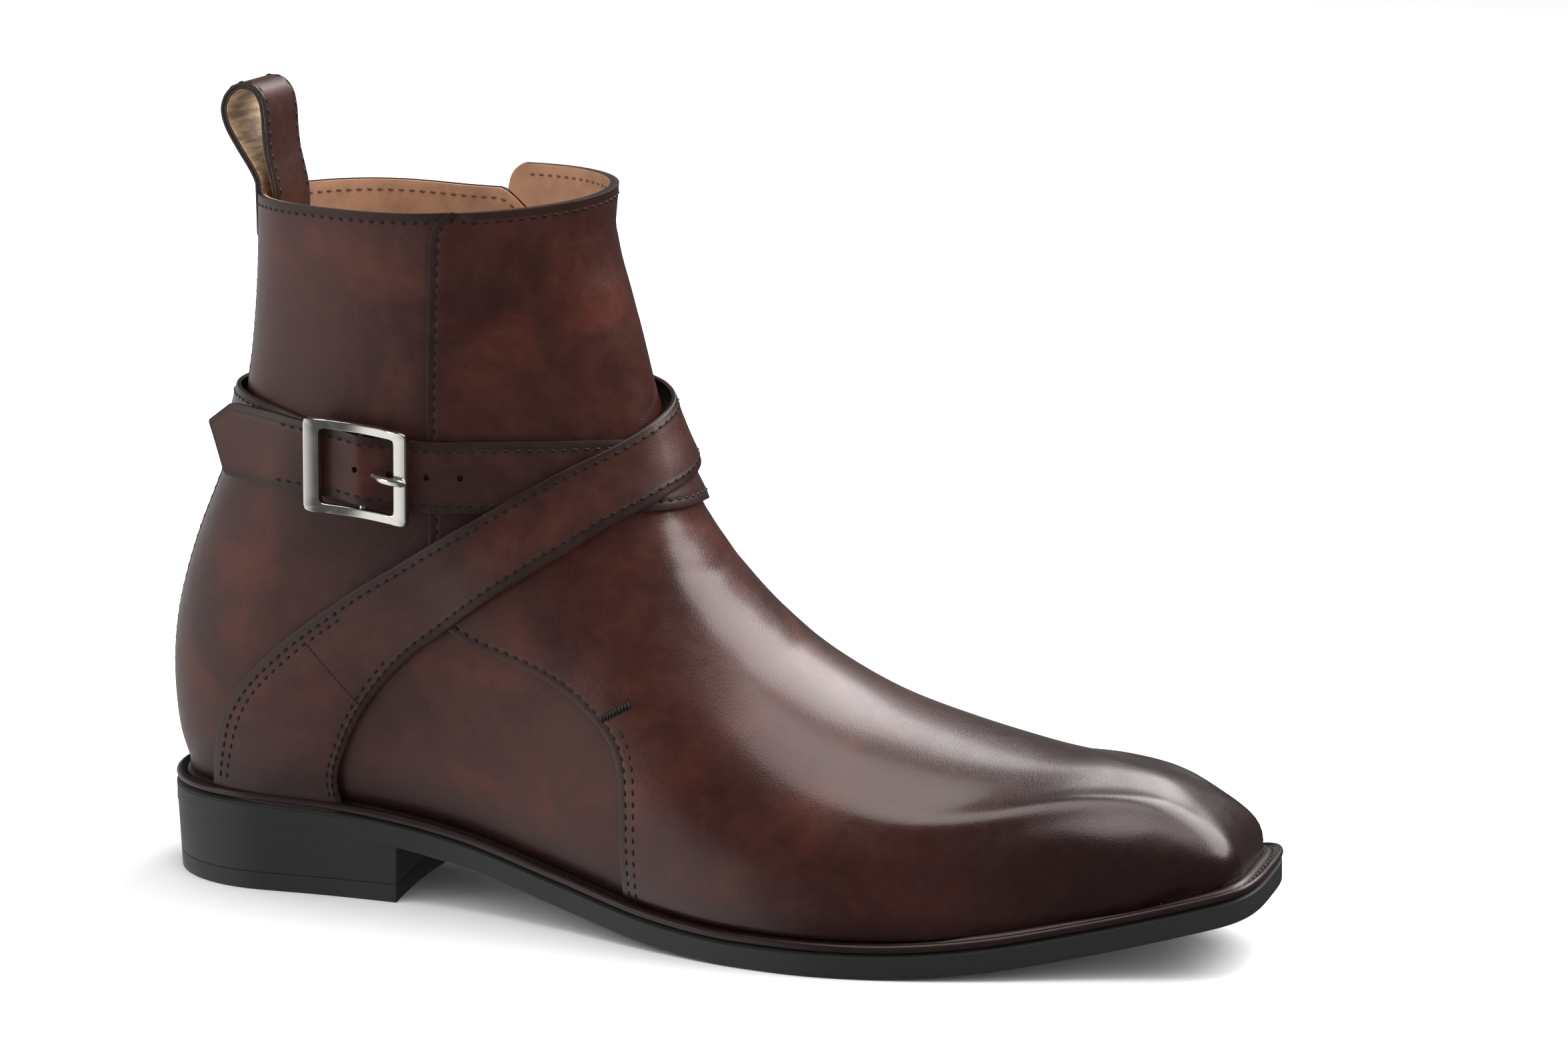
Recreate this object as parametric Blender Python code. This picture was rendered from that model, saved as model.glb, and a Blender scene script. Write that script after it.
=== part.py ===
"""A jodhpur boot for the right foot: hollow leather upper, stacked rubber sole, two crossed straps and a buckle.

Metres, +X to the toe, -Y to the outer (lateral) side, +Z up, the floor at z = 0.
"""
import math

import bmesh
import bpy
import numpy as np
from mathutils import Vector
from mathutils.bvhtree import BVHTree

for old in list(bpy.data.objects):
    bpy.data.objects.remove(old, do_unlink=True)

# Sizes of the boot
LENGTH = 0.308
BALL_WIDTH = 0.108
ORIGIN_X = 0.15285
COLLAR_HEIGHT = 0.190
HEEL_RISE = 0.0185
OUTSOLE = 0.0066
WELT = 0.0026
GAP = 0.0003
WALL = 0.0024
PANEL = 0.0010
FEATHER_INSET = 0.0036
TOE_SHELF = 0.0025
HEEL_LENGTH = 0.076
TOP_LIFT = 0.0050
HEEL_TAPER = 0.0012
MEDIAL_DIP = 0.0035
LATERAL_DIP = 0.0018
FRONT_DIP = 0.0085
COLLAR_SLOPE = 0.045
PANEL_RISE = 0.0006
PANEL_TILT = 0.070
PANEL_LEAN = 0.0008
SEAM_SKEW = 0.055
SEAM_Y = -0.32 * BALL_WIDTH
STRAP_WIDTH = 0.0195
STRAP = 0.0016
LOOP_WIDTH = 0.0210
LOOP = 0.0022
BACKSTAY_WIDTH = 0.0120
BACKSTAY = 0.0010
BACKSTAY_Y = 0.0018
BUCKLE_LENGTH = 0.0285
BUCKLE_SEAT = 0.0002
STRAP_SLOT = 0.0013
PLATE = 0.0042
RAIL = 0.0022
BAR = 0.0022
BUCKLE_HALF = (STRAP_WIDTH + STRAP_SLOT) / 2 + RAIL
HOLE_SPACING = 0.0093
HOLE = 0.0026
TIP_POINT = 0.68

# The sole from heel to toe, in shares of LENGTH, BALL_WIDTH and HEEL_RISE
SOLE = [
    # station, lateral, medial, underside
    (0.00, 0.290, 0.335, 1.000),
    (0.10, 0.285, 0.340, 1.000),
    (0.20, 0.270, 0.335, 0.915),
    (0.30, 0.280, 0.315, 0.690),
    (0.40, 0.345, 0.317, 0.350),
    (0.50, 0.438, 0.367, 0.075),
    (0.57, 0.486, 0.430, 0.000),
    (0.65, 0.500, 0.492, 0.000),
    (0.71, 0.470, 0.500, 0.010),
    (0.78, 0.408, 0.477, 0.105),
    (0.86, 0.320, 0.407, 0.330),
    (0.93, 0.246, 0.329, 0.585),
    (1.00, 0.186, 0.253, 0.900),
]
HEEL_ROUND, HEEL_SQUARE = 0.115, 2.15
TOE_ROUND, TOE_SQUARE = 0.960, 3.6

# Sections of the upper that stand on the sole, toe to heel. Each is a slanted
# plane from a station, a share of the feather line's length, to a point of the
# instep line, in shares of LENGTH, COLLAR_HEIGHT and BALL_WIDTH.
FOOT = [
    # station, top_x, top_z, ridge_y, half, widest, fullness, heel, dome
    (0.9321, 0.9785, 0.1350, 0.038, 0.262, 0.000, 3.00, 2.2, 0.00),
    (0.9249, 0.9780, 0.1465, 0.040, 0.268, 0.020, 3.00, 2.2, 0.00),
    (0.9167, 0.9745, 0.1620, 0.042, 0.275, 0.040, 3.00, 2.2, 0.20),
    (0.9055, 0.9655, 0.1800, 0.044, 0.284, 0.070, 3.00, 2.2, 0.50),
    (0.8891, 0.9440, 0.2045, 0.046, 0.297, 0.100, 3.00, 2.2, 0.80),
    (0.8655, 0.9070, 0.2340, 0.048, 0.318, 0.140, 2.90, 2.2, 1.00),
    (0.8328, 0.8540, 0.2515, 0.048, 0.346, 0.170, 2.70, 2.2, 1.00),
    (0.7867, 0.7890, 0.2625, 0.046, 0.395, 0.190, 2.40, 2.2, 1.00),
    (0.7324, 0.7170, 0.2865, 0.042, 0.448, 0.210, 2.10, 2.2, 1.00),
    (0.6761, 0.6450, 0.3230, 0.037, 0.477, 0.220, 1.90, 2.2, 1.00),
    (0.6167, 0.5830, 0.3790, 0.032, 0.470, 0.220, 1.80, 2.2, 1.00),
    (0.5532, 0.5410, 0.4390, 0.028, 0.443, 0.230, 1.75, 2.2, 1.00),
    (0.4867, 0.5115, 0.4950, 0.023, 0.407, 0.260, 1.80, 2.2, 1.00),
    (0.4171, 0.4925, 0.5400, 0.018, 0.375, 0.290, 1.90, 2.3, 1.00),
    (0.3433, 0.4815, 0.5740, 0.014, 0.348, 0.320, 2.00, 2.4, 1.00),
    (0.2706, 0.4740, 0.6010, 0.010, 0.333, 0.350, 2.00, 2.6, 1.00),
    (0.2010, 0.4685, 0.6230, 0.009, 0.324, 0.370, 2.10, 2.8, 1.00),
    (0.1375, 0.4635, 0.6410, 0.009, 0.320, 0.380, 2.20, 3.0, 1.00),
    (0.0843, 0.4597, 0.6550, 0.009, 0.319, 0.380, 2.20, 3.0, 1.00),
    (0.0433, 0.4568, 0.6660, 0.009, 0.318, 0.385, 2.20, 3.0, 1.00),
    (0.0157, 0.4545, 0.6750, 0.009, 0.317, 0.390, 2.20, 3.0, 1.00),
    (0.0034, 0.4525, 0.6830, 0.009, 0.317, 0.390, 2.20, 3.0, 1.00),
    (0.0000, 0.4505, 0.6900, 0.009, 0.317, 0.390, 2.20, 3.0, 1.00),
]
# Rings of the shaft, from the heel's back up to the collar
SHAFT = [
    # back_x, back_z, back_y, top_x, top_z, ridge_y, half, widest, fullness, heel
    (0.0025, 0.1900, 0.0260, 0.4473, 0.7040, 0.009, 0.317, 0.390, 2.2, 3.0),
    (-0.0022, 0.2470, 0.0250, 0.4428, 0.7280, 0.009, 0.315, 0.400, 2.2, 3.0),
    (-0.0030, 0.3050, 0.0240, 0.4385, 0.7520, 0.008, 0.313, 0.410, 2.2, 2.9),
    (0.0015, 0.3680, 0.0220, 0.4346, 0.7760, 0.008, 0.310, 0.420, 2.2, 2.8),
    (0.0110, 0.4310, 0.0200, 0.4308, 0.8000, 0.007, 0.307, 0.430, 2.2, 2.7),
    (0.0240, 0.4940, 0.0180, 0.4268, 0.8240, 0.007, 0.305, 0.440, 2.2, 2.6),
    (0.0400, 0.5570, 0.0160, 0.4226, 0.8470, 0.006, 0.304, 0.450, 2.2, 2.5),
    (0.0555, 0.6200, 0.0140, 0.4184, 0.8710, 0.006, 0.304, 0.460, 2.2, 2.4),
    (0.0675, 0.6830, 0.0130, 0.4142, 0.8950, 0.005, 0.305, 0.470, 2.2, 2.3),
    (0.0755, 0.7490, 0.0120, 0.4101, 0.9180, 0.005, 0.307, 0.480, 2.2, 2.2),
    (0.0800, 0.8150, 0.0110, 0.4068, 0.9420, 0.004, 0.310, 0.490, 2.2, 2.2),
    (0.0828, 0.8810, 0.0100, 0.4045, 0.9660, 0.004, 0.313, 0.495, 2.2, 2.2),
    (0.0838, 0.9380, 0.0100, 0.4029, 0.9900, 0.003, 0.315, 0.500, 2.2, 2.2),
    (0.0840, 0.9900, 0.0100, 0.4015, 1.0130, 0.003, 0.317, 0.500, 2.2, 2.2),
]


def rows_at(rows, t):
    """The columns of a table at t, by a smooth cubic through its rows."""
    rows = np.array(rows, float)
    key, values = rows[:, 0], rows[:, 1:]
    t = np.clip(np.atleast_1d(np.asarray(t, float)), key[0], key[-1])
    step = np.diff(key)
    slope = np.diff(values, axis=0) / step[:, None]
    tangent = np.empty_like(values)
    tangent[0], tangent[-1] = slope[0], slope[-1]
    share = (step[1:] / (step[:-1] + step[1:]))[:, None]
    tangent[1:-1] = share * slope[:-1] + (1 - share) * slope[1:]
    k = np.clip(np.searchsorted(key, t, side="right") - 1, 0, len(key) - 2)
    s = ((t - key[k]) / step[k])[:, None]
    h = step[k][:, None]
    return (
        (2 * s**3 - 3 * s**2 + 1) * values[k]
        + (s**3 - 2 * s**2 + s) * h * tangent[k]
        + (3 * s**2 - 2 * s**3) * values[k + 1]
        + (s**3 - s**2) * h * tangent[k + 1]
    )


def outline(t, inset=0.0):
    """x, middle y and half width of the sole's edge at share t, set in by inset."""
    t = np.atleast_1d(np.asarray(t, float))
    lateral, medial, _ = (rows_at(SOLE, t) * BALL_WIDTH).T
    back = np.clip(1 - t / HEEL_ROUND, 0, 1)
    front = np.clip((t - TOE_ROUND) / (1 - TOE_ROUND), 0, 1)
    close = (1 - back**HEEL_SQUARE) ** (1 / HEEL_SQUARE) * (1 - front**TOE_SQUARE) ** (1 / TOE_SQUARE)
    x = inset + t * (LENGTH - 2 * inset)
    return x, (medial - lateral) / 2, ((medial + lateral) / 2 - inset) * close


def underside(x):
    return np.maximum(rows_at([(r[0], r[3]) for r in SOLE], np.asarray(x) / LENGTH)[:, 0] * HEEL_RISE, 0.0)


def feather(x):
    """Height of the line where the upper meets the welt."""
    return underside(x) + OUTSOLE + WELT + 1.6 * GAP


def placed(points):
    points = np.asarray(points, float).copy()
    points[..., 0] -= ORIGIN_X
    return points


def section(base, top, low, ridge_y, half, widest, fullness, heel, dome, count):
    """One section of the upper: points from the lateral end over the top to the medial end.

    low is (middle y, half width) at its base.
    """
    base, top = np.array(base), np.array(top)
    q = (1 - np.cos(np.linspace(0, np.pi, 161))) / 2
    start = np.clip(low[1] / half, 0, 0.999)
    lift = widest * ((1 - start**2) ** (-1 / heel) - 1) if widest > 0 and start > 0.02 else 0.0
    upper = 1 - np.clip((q - widest) / (1 - widest), 0, 1) ** fullness
    lower = 1 - np.clip((widest - q) / (widest + lift + 1e-9), 0, 1) ** heel
    domed = half * np.sqrt(np.where(q > widest, upper, lower))
    x = base[0] + q * (top[0] - base[0])
    z = base[1] + q * (top[1] - base[1])
    # The welt shows wider in front of the toe: the flat outline steps back by TOE_SHELF there
    toe = np.clip((x / LENGTH - 0.90) / 0.06, 0, 1)
    flat_t = (x + TOE_SHELF * (3 * toe**2 - 2 * toe**3) - FEATHER_INSET) / (LENGTH - 2 * FEATHER_INSET)
    _, flat_c, flat_h = outline(np.clip(flat_t, 0, 1), FEATHER_INSET)
    blend = 3 * q**2 - 2 * q**3
    middle = low[0] + blend * (ridge_y - low[0])
    w = domed
    if dome < 1:
        w = (1 - dome) * flat_h + dome * domed
        middle = (1 - dome) * flat_c + dome * middle
    w[-1] = 0
    sides = []
    for side in (-1, 1):
        path = np.stack([x, middle + side * w, z], 1)
        run = np.concatenate([[0], np.cumsum(np.linalg.norm(np.diff(path, axis=0), axis=1))])
        at = np.linspace(0, run[-1], count + 1)
        sides.append(np.stack([np.interp(at, run, path[:, k]) for k in range(3)], 1))
    return np.concatenate([sides[0], sides[1][::-1][1:]])


def upper_grid(count, foot_rows=None, shaft_rows=None):
    """Points of the upper's outer surface: one row for each section, toe first, and the number of open rows."""
    foot, shaft = np.array(FOOT), np.array(SHAFT)
    if foot_rows:
        at = np.linspace(0, len(foot) - 1, foot_rows)
        foot = rows_at(np.column_stack([np.arange(len(foot)), foot]), at)
    if shaft_rows:
        both = np.array([(0, 0, 0, *FOOT[-1][1:8])] + SHAFT)
        at = np.linspace(0, len(shaft), shaft_rows + 1)[1:]
        both[0, 0] = FEATHER_INSET / LENGTH
        both[0, 1] = feather(FEATHER_INSET)[0] / COLLAR_HEIGHT
        both[0, 2] = outline(0.0)[1][0] / BALL_WIDTH
        shaft = rows_at(np.column_stack([np.arange(len(both)), both]), at)
    rows = []
    for station, top_x, top_z, ridge_y, half, widest, fullness, heel, dome in foot:
        (x,), c, h = outline(station, FEATHER_INSET)
        rows.append(section(
            (x, feather(x)[0]), (top_x * LENGTH, top_z * COLLAR_HEIGHT), (c[0], h[0]),
            ridge_y * BALL_WIDTH, half * BALL_WIDTH, widest, fullness, heel, min(dome, 1.0), count,
        ))
    for back_x, back_z, back_y, top_x, top_z, ridge_y, half, widest, fullness, heel in shaft:
        rows.append(section(
            (back_x * LENGTH, back_z * COLLAR_HEIGHT), (top_x * LENGTH, top_z * COLLAR_HEIGHT),
            (back_y * BALL_WIDTH, 0.0), ridge_y * BALL_WIDTH, half * BALL_WIDTH, widest, fullness, heel, 1.0, count,
        ))
    grid = np.array(rows)
    # The feather line lies on the welt all round, the toe's first section with it
    grid[: len(foot), 0, 2] = feather(grid[: len(foot), 0, 0])
    grid[: len(foot), -1, 2] = feather(grid[: len(foot), -1, 0])
    grid[0, :, 2] = feather(grid[0, :, 0])
    x, y, z = grid[..., 0], grid[..., 1], grid[..., 2]
    dip = MEDIAL_DIP * np.clip(y / 0.020, 0, 1) + LATERAL_DIP * np.clip(-y / 0.020, 0, 1)
    dip *= np.exp(-(((x - 0.27 * LENGTH) / 0.030) ** 2)) * np.clip(z / COLLAR_HEIGHT, 0, 1) ** 8
    # Behind the front panel the quarters' rim falls away, sooner on the inner side
    start = (0.281 - 0.019 * np.clip(y / 0.020, -1, 1)) * LENGTH
    ahead = np.clip((x - start) / (0.045 * LENGTH), 0, 1)
    dip += FRONT_DIP * (3 * ahead**2 - 2 * ahead**3) * np.clip(z / COLLAR_HEIGHT, 0, 1) ** 16
    grid[..., 2] -= dip
    return grid, len(foot)


def normals_of(grid, foot):
    """Outward unit normals of a grid, level along the feather line and the collar."""
    along = np.gradient(grid, axis=0)
    across = np.gradient(grid, axis=1)
    ring = slice(foot, None)
    across[ring, 0] = across[ring, -1] = (grid[ring, 1] - grid[ring, -2]) / 2
    normal = np.cross(across, along)
    normal[foot - 1, 0] = normal[foot - 1, -1] = (-1, 0, 0)
    normal[:foot, 0, 2] = normal[:foot, -1, 2] = 0
    normal[0, :, 2] = 0
    normal[-1, :, 2] = 0
    return normal / np.maximum(np.linalg.norm(normal, axis=2, keepdims=True), 1e-12)


def collection_of(name):
    found = bpy.data.collections.get(name)
    if found is None:
        found = bpy.data.collections.new(name)
        bpy.context.scene.collection.children.link(found)
    return found


def material_of(name, color, metallic=0.0, roughness=0.5):
    material = bpy.data.materials.new(name)
    material.use_nodes = True
    shader = material.node_tree.nodes["Principled BSDF"]
    shader.inputs["Base Color"].default_value = (*color, 1)
    shader.inputs["Metallic"].default_value = metallic
    shader.inputs["Roughness"].default_value = roughness
    return material


def solid(name, points, faces, material=None, cutter=False):
    """A closed mesh object from points and faces, with coincident points made one."""
    mesh = bpy.data.meshes.new(name)
    mesh.from_pydata([tuple(p) for p in placed(points)], [], faces)
    bm = bmesh.new()
    bm.from_mesh(mesh)
    bmesh.ops.remove_doubles(bm, verts=bm.verts, dist=2e-5)
    bmesh.ops.dissolve_degenerate(bm, edges=bm.edges, dist=1e-5)
    bmesh.ops.recalc_face_normals(bm, faces=bm.faces)
    bmesh.ops.triangulate(bm, faces=bm.faces)
    bm.to_mesh(mesh)
    bm.free()
    obj = bpy.data.objects.new(name, mesh)
    if cutter:
        collection_of("cutters").objects.link(obj)
        obj.hide_render = True
        obj.display_type = "WIRE"
    else:
        collection_of("parts").objects.link(obj)
        obj.data.materials.append(material)
    return obj


def loft(name, rings, material=None, cutter=False, closed=False):
    """A solid through rings of equal point counts, capped at both ends or closed on itself."""
    rings = np.asarray(rings)
    n, m = rings.shape[:2]
    faces = []
    for i in range(n if closed else n - 1):
        a, b = i * m, (i + 1) % n * m
        faces += [(a + j, a + (j + 1) % m, b + (j + 1) % m, b + j) for j in range(m)]
    if not closed:
        faces += [tuple(range(m))[::-1], tuple(range((n - 1) * m, n * m))]
    return solid(name, rings.reshape(-1, 3), faces, material, cutter)


def cut(obj, cutter, operation="DIFFERENCE"):
    modifier = obj.modifiers.new(f"{operation.lower()} {cutter.name}", "BOOLEAN")
    modifier.operation = operation
    modifier.solver = "EXACT"
    modifier.object = cutter


def between(outer, inner):
    """Faces of the wall between two grids of one shape, with rims at the feather line and the collar."""
    (grid, foot), (inside, _) = outer, inner
    n, m = grid.shape[:2]
    points = np.concatenate([grid.reshape(-1, 3), inside.reshape(-1, 3)])
    at = lambda i, j, k: k * n * m + i * m + j
    faces = []
    for i in range(n - 1):
        for j in range(m - 1):
            faces.append((at(i, j, 0), at(i, j + 1, 0), at(i + 1, j + 1, 0), at(i + 1, j, 0)))
            faces.append((at(i, j, 1), at(i + 1, j, 1), at(i + 1, j + 1, 1), at(i, j + 1, 1)))
    for j in range(m - 1):
        faces.append((at(0, j, 0), at(0, j, 1), at(0, j + 1, 1), at(0, j + 1, 0)))
        faces.append((at(n - 1, j, 0), at(n - 1, j + 1, 0), at(n - 1, j + 1, 1), at(n - 1, j, 1)))
    for i in range(foot - 1):
        for j in (0, m - 1):
            faces.append((at(i, j, 0), at(i + 1, j, 0), at(i + 1, j, 1), at(i, j, 1)))
    return points, faces


def moved(grid, normal, by):
    """The grid offset along its normals, its lower edge kept on the welt."""
    skin = grid + normal * by
    rows = len(FOOT)
    skin[:rows, [0, -1], 2] = feather(skin[:rows, [0, -1], 0].ravel()).reshape(rows, 2)
    skin[0, :, 2] = feather(skin[0, :, 0])
    return skin


def shell(name, low, high, material, rise=0.0):
    """A leather layer over the whole upper, from offset low to offset high: overlays are cut from it."""
    grid, foot = upper_grid(AROUND)
    normal = normals_of(grid, foot)
    skins = [moved(grid, normal, by) for by in (high, low)]
    if rise:
        for k, skin in enumerate(skins):
            top = skin[-1:] + normal[-1:] * PANEL_LEAN
            back_x, back_z = SHAFT[-1][:2]
            line = back_z * COLLAR_HEIGHT + (top[0, :, 0] - back_x * LENGTH) * COLLAR_SLOPE + rise
            top[0, :, 2] = np.maximum(line + PANEL_TILT * top[0, :, 1], skin[-1, :, 2] + GAP)
            skins[k] = np.concatenate([skin, top])
    points, faces = between((skins[0], foot), (skins[1], foot))
    return solid(name, points, faces, material)


def prism(name, profile, low, high):
    """A cutter: a side-view outline of (x, z) shares, run across the boot from y low to y high.

    Toward the inner side it leans back and up with the front panel's top.
    """
    return loft(name, [
        [(x * LENGTH - SEAM_SKEW * (y - SEAM_Y), y, z * COLLAR_HEIGHT + PANEL_TILT * (y - SEAM_Y)) for x, z in profile]
        for y in (low, high)
    ], cutter=True)


def board(name, start, end, count, inset, low, high, material=None, cutter=False):
    """A sole board cut to the outline, between two heights given as functions of x."""
    t = np.unique(np.concatenate([
        np.linspace(0, 1, 9) ** 2 * 0.05 + 0.0004 if start == 0 else [start],
        np.linspace(max(start, 0.0), min(end, 1.0), count),
        1 - np.linspace(0, 1, 9) ** 1.7 * 0.06 - 0.0003 if end == 1 else [end],
    ]))
    t = t[(t >= max(start, 0.0004)) & (t <= min(end, 0.9997))]
    t = t[np.concatenate([[True], np.diff(t) > 0.0003])]
    x, c, h = outline(t, inset)
    return loft(name, [
        [(x[i], c[i] - h[i], low(x[i])), (x[i], c[i] - h[i], high(x[i])),
         (x[i], c[i] + h[i], high(x[i])), (x[i], c[i] + h[i], low(x[i]))]
        for i in range(len(x))
    ], material, cutter)


BROWN = (0.085, 0.030, 0.022)
leather = material_of("burnished calf leather", BROWN, roughness=0.32)
dark_leather = material_of("dark edge leather", (0.030, 0.014, 0.012), roughness=0.45)
lining = material_of("tan lining leather", (0.42, 0.24, 0.13), roughness=0.65)
rubber = material_of("charcoal sole rubber", (0.024, 0.024, 0.027), roughness=0.55)
nickel = material_of("polished nickel", (0.78, 0.75, 0.70), 1.0, 0.18)

level = lambda x: underside(x)[0]

outsole = board("outsole", 0, 1, 38, 0.0, level, lambda x: level(x) + OUTSOLE, rubber)
welt = board("welt", 0, 1, 38, 0.0004, lambda x: level(x) + OUTSOLE + GAP, lambda x: level(x) + OUTSOLE + WELT, dark_leather)
insole = board(
    "insole", 0, 0.975, 26, FEATHER_INSET + WALL + 0.0012,
    lambda x: level(x) + OUTSOLE + WELT + GAP, lambda x: level(x) + OUTSOLE + WELT + GAP + 0.0030, lining,
)


def heel_piece(name, low, high):
    """A layer of the heel: the outline's back, tapered toward the floor, with a hollowed breast face."""
    share = HEEL_LENGTH / LENGTH
    t = np.concatenate([np.linspace(0, 1, 8)[:-1] ** 2 * 0.045 + 0.0004, np.linspace(0.047, share, 10)])
    rings = []
    for ti in t:
        ring = []
        for side, end in ((-1, low), (-1, high), (1, high), (1, low)):
            x, c, h = (v[0] for v in outline(ti))
            z = end(x)
            inset = HEEL_TAPER * (1 - z / (HEEL_RISE + OUTSOLE))
            x = inset + x * (1 - inset / HEEL_LENGTH)
            ring.append((x, c + side * (h - inset * min(1, h / 0.02)), z))
        rings.append(ring)
    return loft(name, rings, rubber)


heel = heel_piece("heel_block", lambda x: TOP_LIFT + GAP, lambda x: level(x) - GAP)
lift = heel_piece("top_lift", lambda x: 0.0, lambda x: TOP_LIFT)

AROUND = 12
grid, foot = upper_grid(AROUND)
normal = normals_of(grid, foot)
inside = moved(grid, normal, -WALL)
points, faces = between((grid, foot), (inside, foot))
upper = solid("upper", points, faces, leather)


# The seam where the vamp laps the quarters, from above the collar to under the sole
SEAM = [
    # x, z
    (0.405, 1.120), (0.3250, 1.120), (0.3080, 1.0020), (0.2990, 0.9960), (0.2920, 0.9890), (0.2865, 0.9780),
    (0.2838, 0.9620), (0.2828, 0.9400), (0.2785, 0.8000), (0.2765, 0.7100), (0.2785, 0.6000), (0.2800, 0.5000), (0.2860, 0.4420),
    (0.3010, 0.4060), (0.3310, 0.3830), (0.3620, 0.3680), (0.3920, 0.3510), (0.4200, 0.3270),
    (0.4420, 0.3020), (0.4560, 0.2770), (0.4630, 0.2500), (0.4670, 0.2100), (0.4690, 0.1600),
    (0.4700, -0.0500), (1.0600, -0.0500), (1.0600, 0.5000), (0.6000, 0.6000), (0.5200, 1.1200),
]
vamp = shell("vamp", GAP, GAP + PANEL, leather, PANEL_RISE)
cut(vamp, prism("seam_outline", SEAM, -0.75 * BALL_WIDTH, 0.75 * BALL_WIDTH), "INTERSECT")

backstay = shell("backstay", GAP, GAP + BACKSTAY, dark_leather)
half = BACKSTAY_WIDTH / 2
strip = loft("backstay_outline", [
    [(-0.03 * LENGTH, BACKSTAY_Y - half, z), (0.15 * LENGTH, BACKSTAY_Y - half, z),
     (0.15 * LENGTH, BACKSTAY_Y + half, z), (-0.03 * LENGTH, BACKSTAY_Y + half, z)]
    for z in (feather(0.0)[0] + 0.0014, COLLAR_HEIGHT * SHAFT[-1][1] - 0.0006)
], cutter=True)
cut(backstay, strip, "INTERSECT")

# Straps, by the turn of their two edges about the ankle's upright axis in degrees (0 at the
# front, 90 on the inner side), their middle height and what they take of it, in shares of
# COLLAR_HEIGHT and STRAP_WIDTH, and the lift off the upper in millimetres
AXIS = (0.26 * LENGTH, 0.0185 * BALL_WIDTH)
BUCKLE_STRAP = [
    # step, turn_top, turn_low, middle, tall, lift
    (0, -157, -129, 0.1175, 0.049, 1.60),
    (1, -154, -125, 0.1865, 0.166, 1.60),
    (2, -150, -119, 0.2465, 0.361, 1.45),
    (3, -144, -112, 0.3020, 0.507, 1.10),
    (4, -133, -102, 0.3575, 0.692, 1.00),
    (5, -115, -88, 0.4110, 0.838, 1.30),
    (6, -94, -72, 0.4540, 0.896, 1.80),
    (7, -74, -58, 0.4930, 0.916, 4.10),
    (8, -56, -45, 0.5300, 0.896, 4.70),
    (9, -41, -33, 0.5680, 0.857, 4.70),
    (10, -29, -23, 0.6020, 0.779, 4.70),
    (11, -18, -14, 0.6280, 0.779, 4.70),
    (12, -8, -6, 0.6500, 0.857, 5.00),
    (13, 2, 2, 0.6680, 0.935, 5.15),
    (14, 14, 14, 0.6825, 0.984, 5.10),
    (15, 30, 30, 0.6910, 0.994, 4.50),
    (16, 50, 50, 0.6905, 1.004, 2.60),
    (17, 75, 75, 0.6845, 1.004, 1.90),
    (18, 100, 100, 0.6780, 0.994, 1.80),
    (19, 125, 125, 0.6720, 0.994, 1.80),
    (20, 150, 150, 0.6680, 0.994, 2.00),
    (21, 170, 170, 0.6660, 0.994, 2.10),
    (22, 190, 190, 0.6640, 0.994, 2.10),
    (23, 203, 203, 0.6610, 0.994, 1.60),
    (24, 216, 216, 0.6550, 0.994, 0.70),
    (25, 230, 230, 0.6430, 0.994, 0.50),
    (26, 243, 243, 0.6350, 0.994, 0.50),
    (27, 253, 253, 0.6310, 0.994, 0.50),
]
TIP_STRAP = [
    (0, 157, 129, 0.1175, 0.049, 1.30),
    (1, 154, 125, 0.1865, 0.166, 1.30),
    (2, 150, 119, 0.2440, 0.351, 1.00),
    (3, 144, 112, 0.2970, 0.487, 1.00),
    (4, 132, 101, 0.3500, 0.663, 1.00),
    (5, 114, 87, 0.4010, 0.799, 1.30),
    (6, 93, 71, 0.4420, 0.857, 2.20),
    (7, 73, 57, 0.4790, 0.877, 2.20),
    (8, 55, 44, 0.5140, 0.857, 2.20),
    (9, 40, 33, 0.5480, 0.818, 2.20),
    (10, 28, 23, 0.5790, 0.799, 2.20),
    (11, 16, 13, 0.6040, 0.818, 2.30),
    (12, 4, 3, 0.6190, 0.877, 2.30),
    (13, -8, -8, 0.6245, 0.926, 2.30),
    (14, -22, -22, 0.6280, 0.974, 2.30),
    (15, -40, -40, 0.6285, 0.984, 2.20),
    (16, -58, -58, 0.6275, 0.984, 2.20),
    (17, -76, -76, 0.6260, 0.974, 2.20),
    (18, -89, -89, 0.6265, 0.984, 2.00),
    (19, -99, -99, 0.6295, 0.965, 2.80),
    (20, -109, -109, 0.6335, 0.965, 4.85),
    (21, -119, -119, 0.6385, 0.965, 3.00),
    (22, -129, -129, 0.6425, 0.965, 2.30),
    (23, -140, -140, 0.6460, 0.994, 2.70),
]


def skin_tree(count=40):
    """The upper's outer surface as a search tree, finer than the solid and carried down past the sole's top."""
    grid, foot = upper_grid(count)
    low = grid[:, [0, -1]].copy()
    low[:foot, :, 2] -= 0.015
    grid = np.concatenate([low[:, :1], grid, low[:, 1:]], axis=1)
    n, m = grid.shape[:2]
    faces = [
        (i * m + j, i * m + j + 1, (i + 1) * m + j + 1, (i + 1) * m + j)
        for i in range(n - 1) for j in range(m - 1)
    ]
    return BVHTree.FromPolygons([Vector(p) for p in grid.reshape(-1, 3)], faces)


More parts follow.
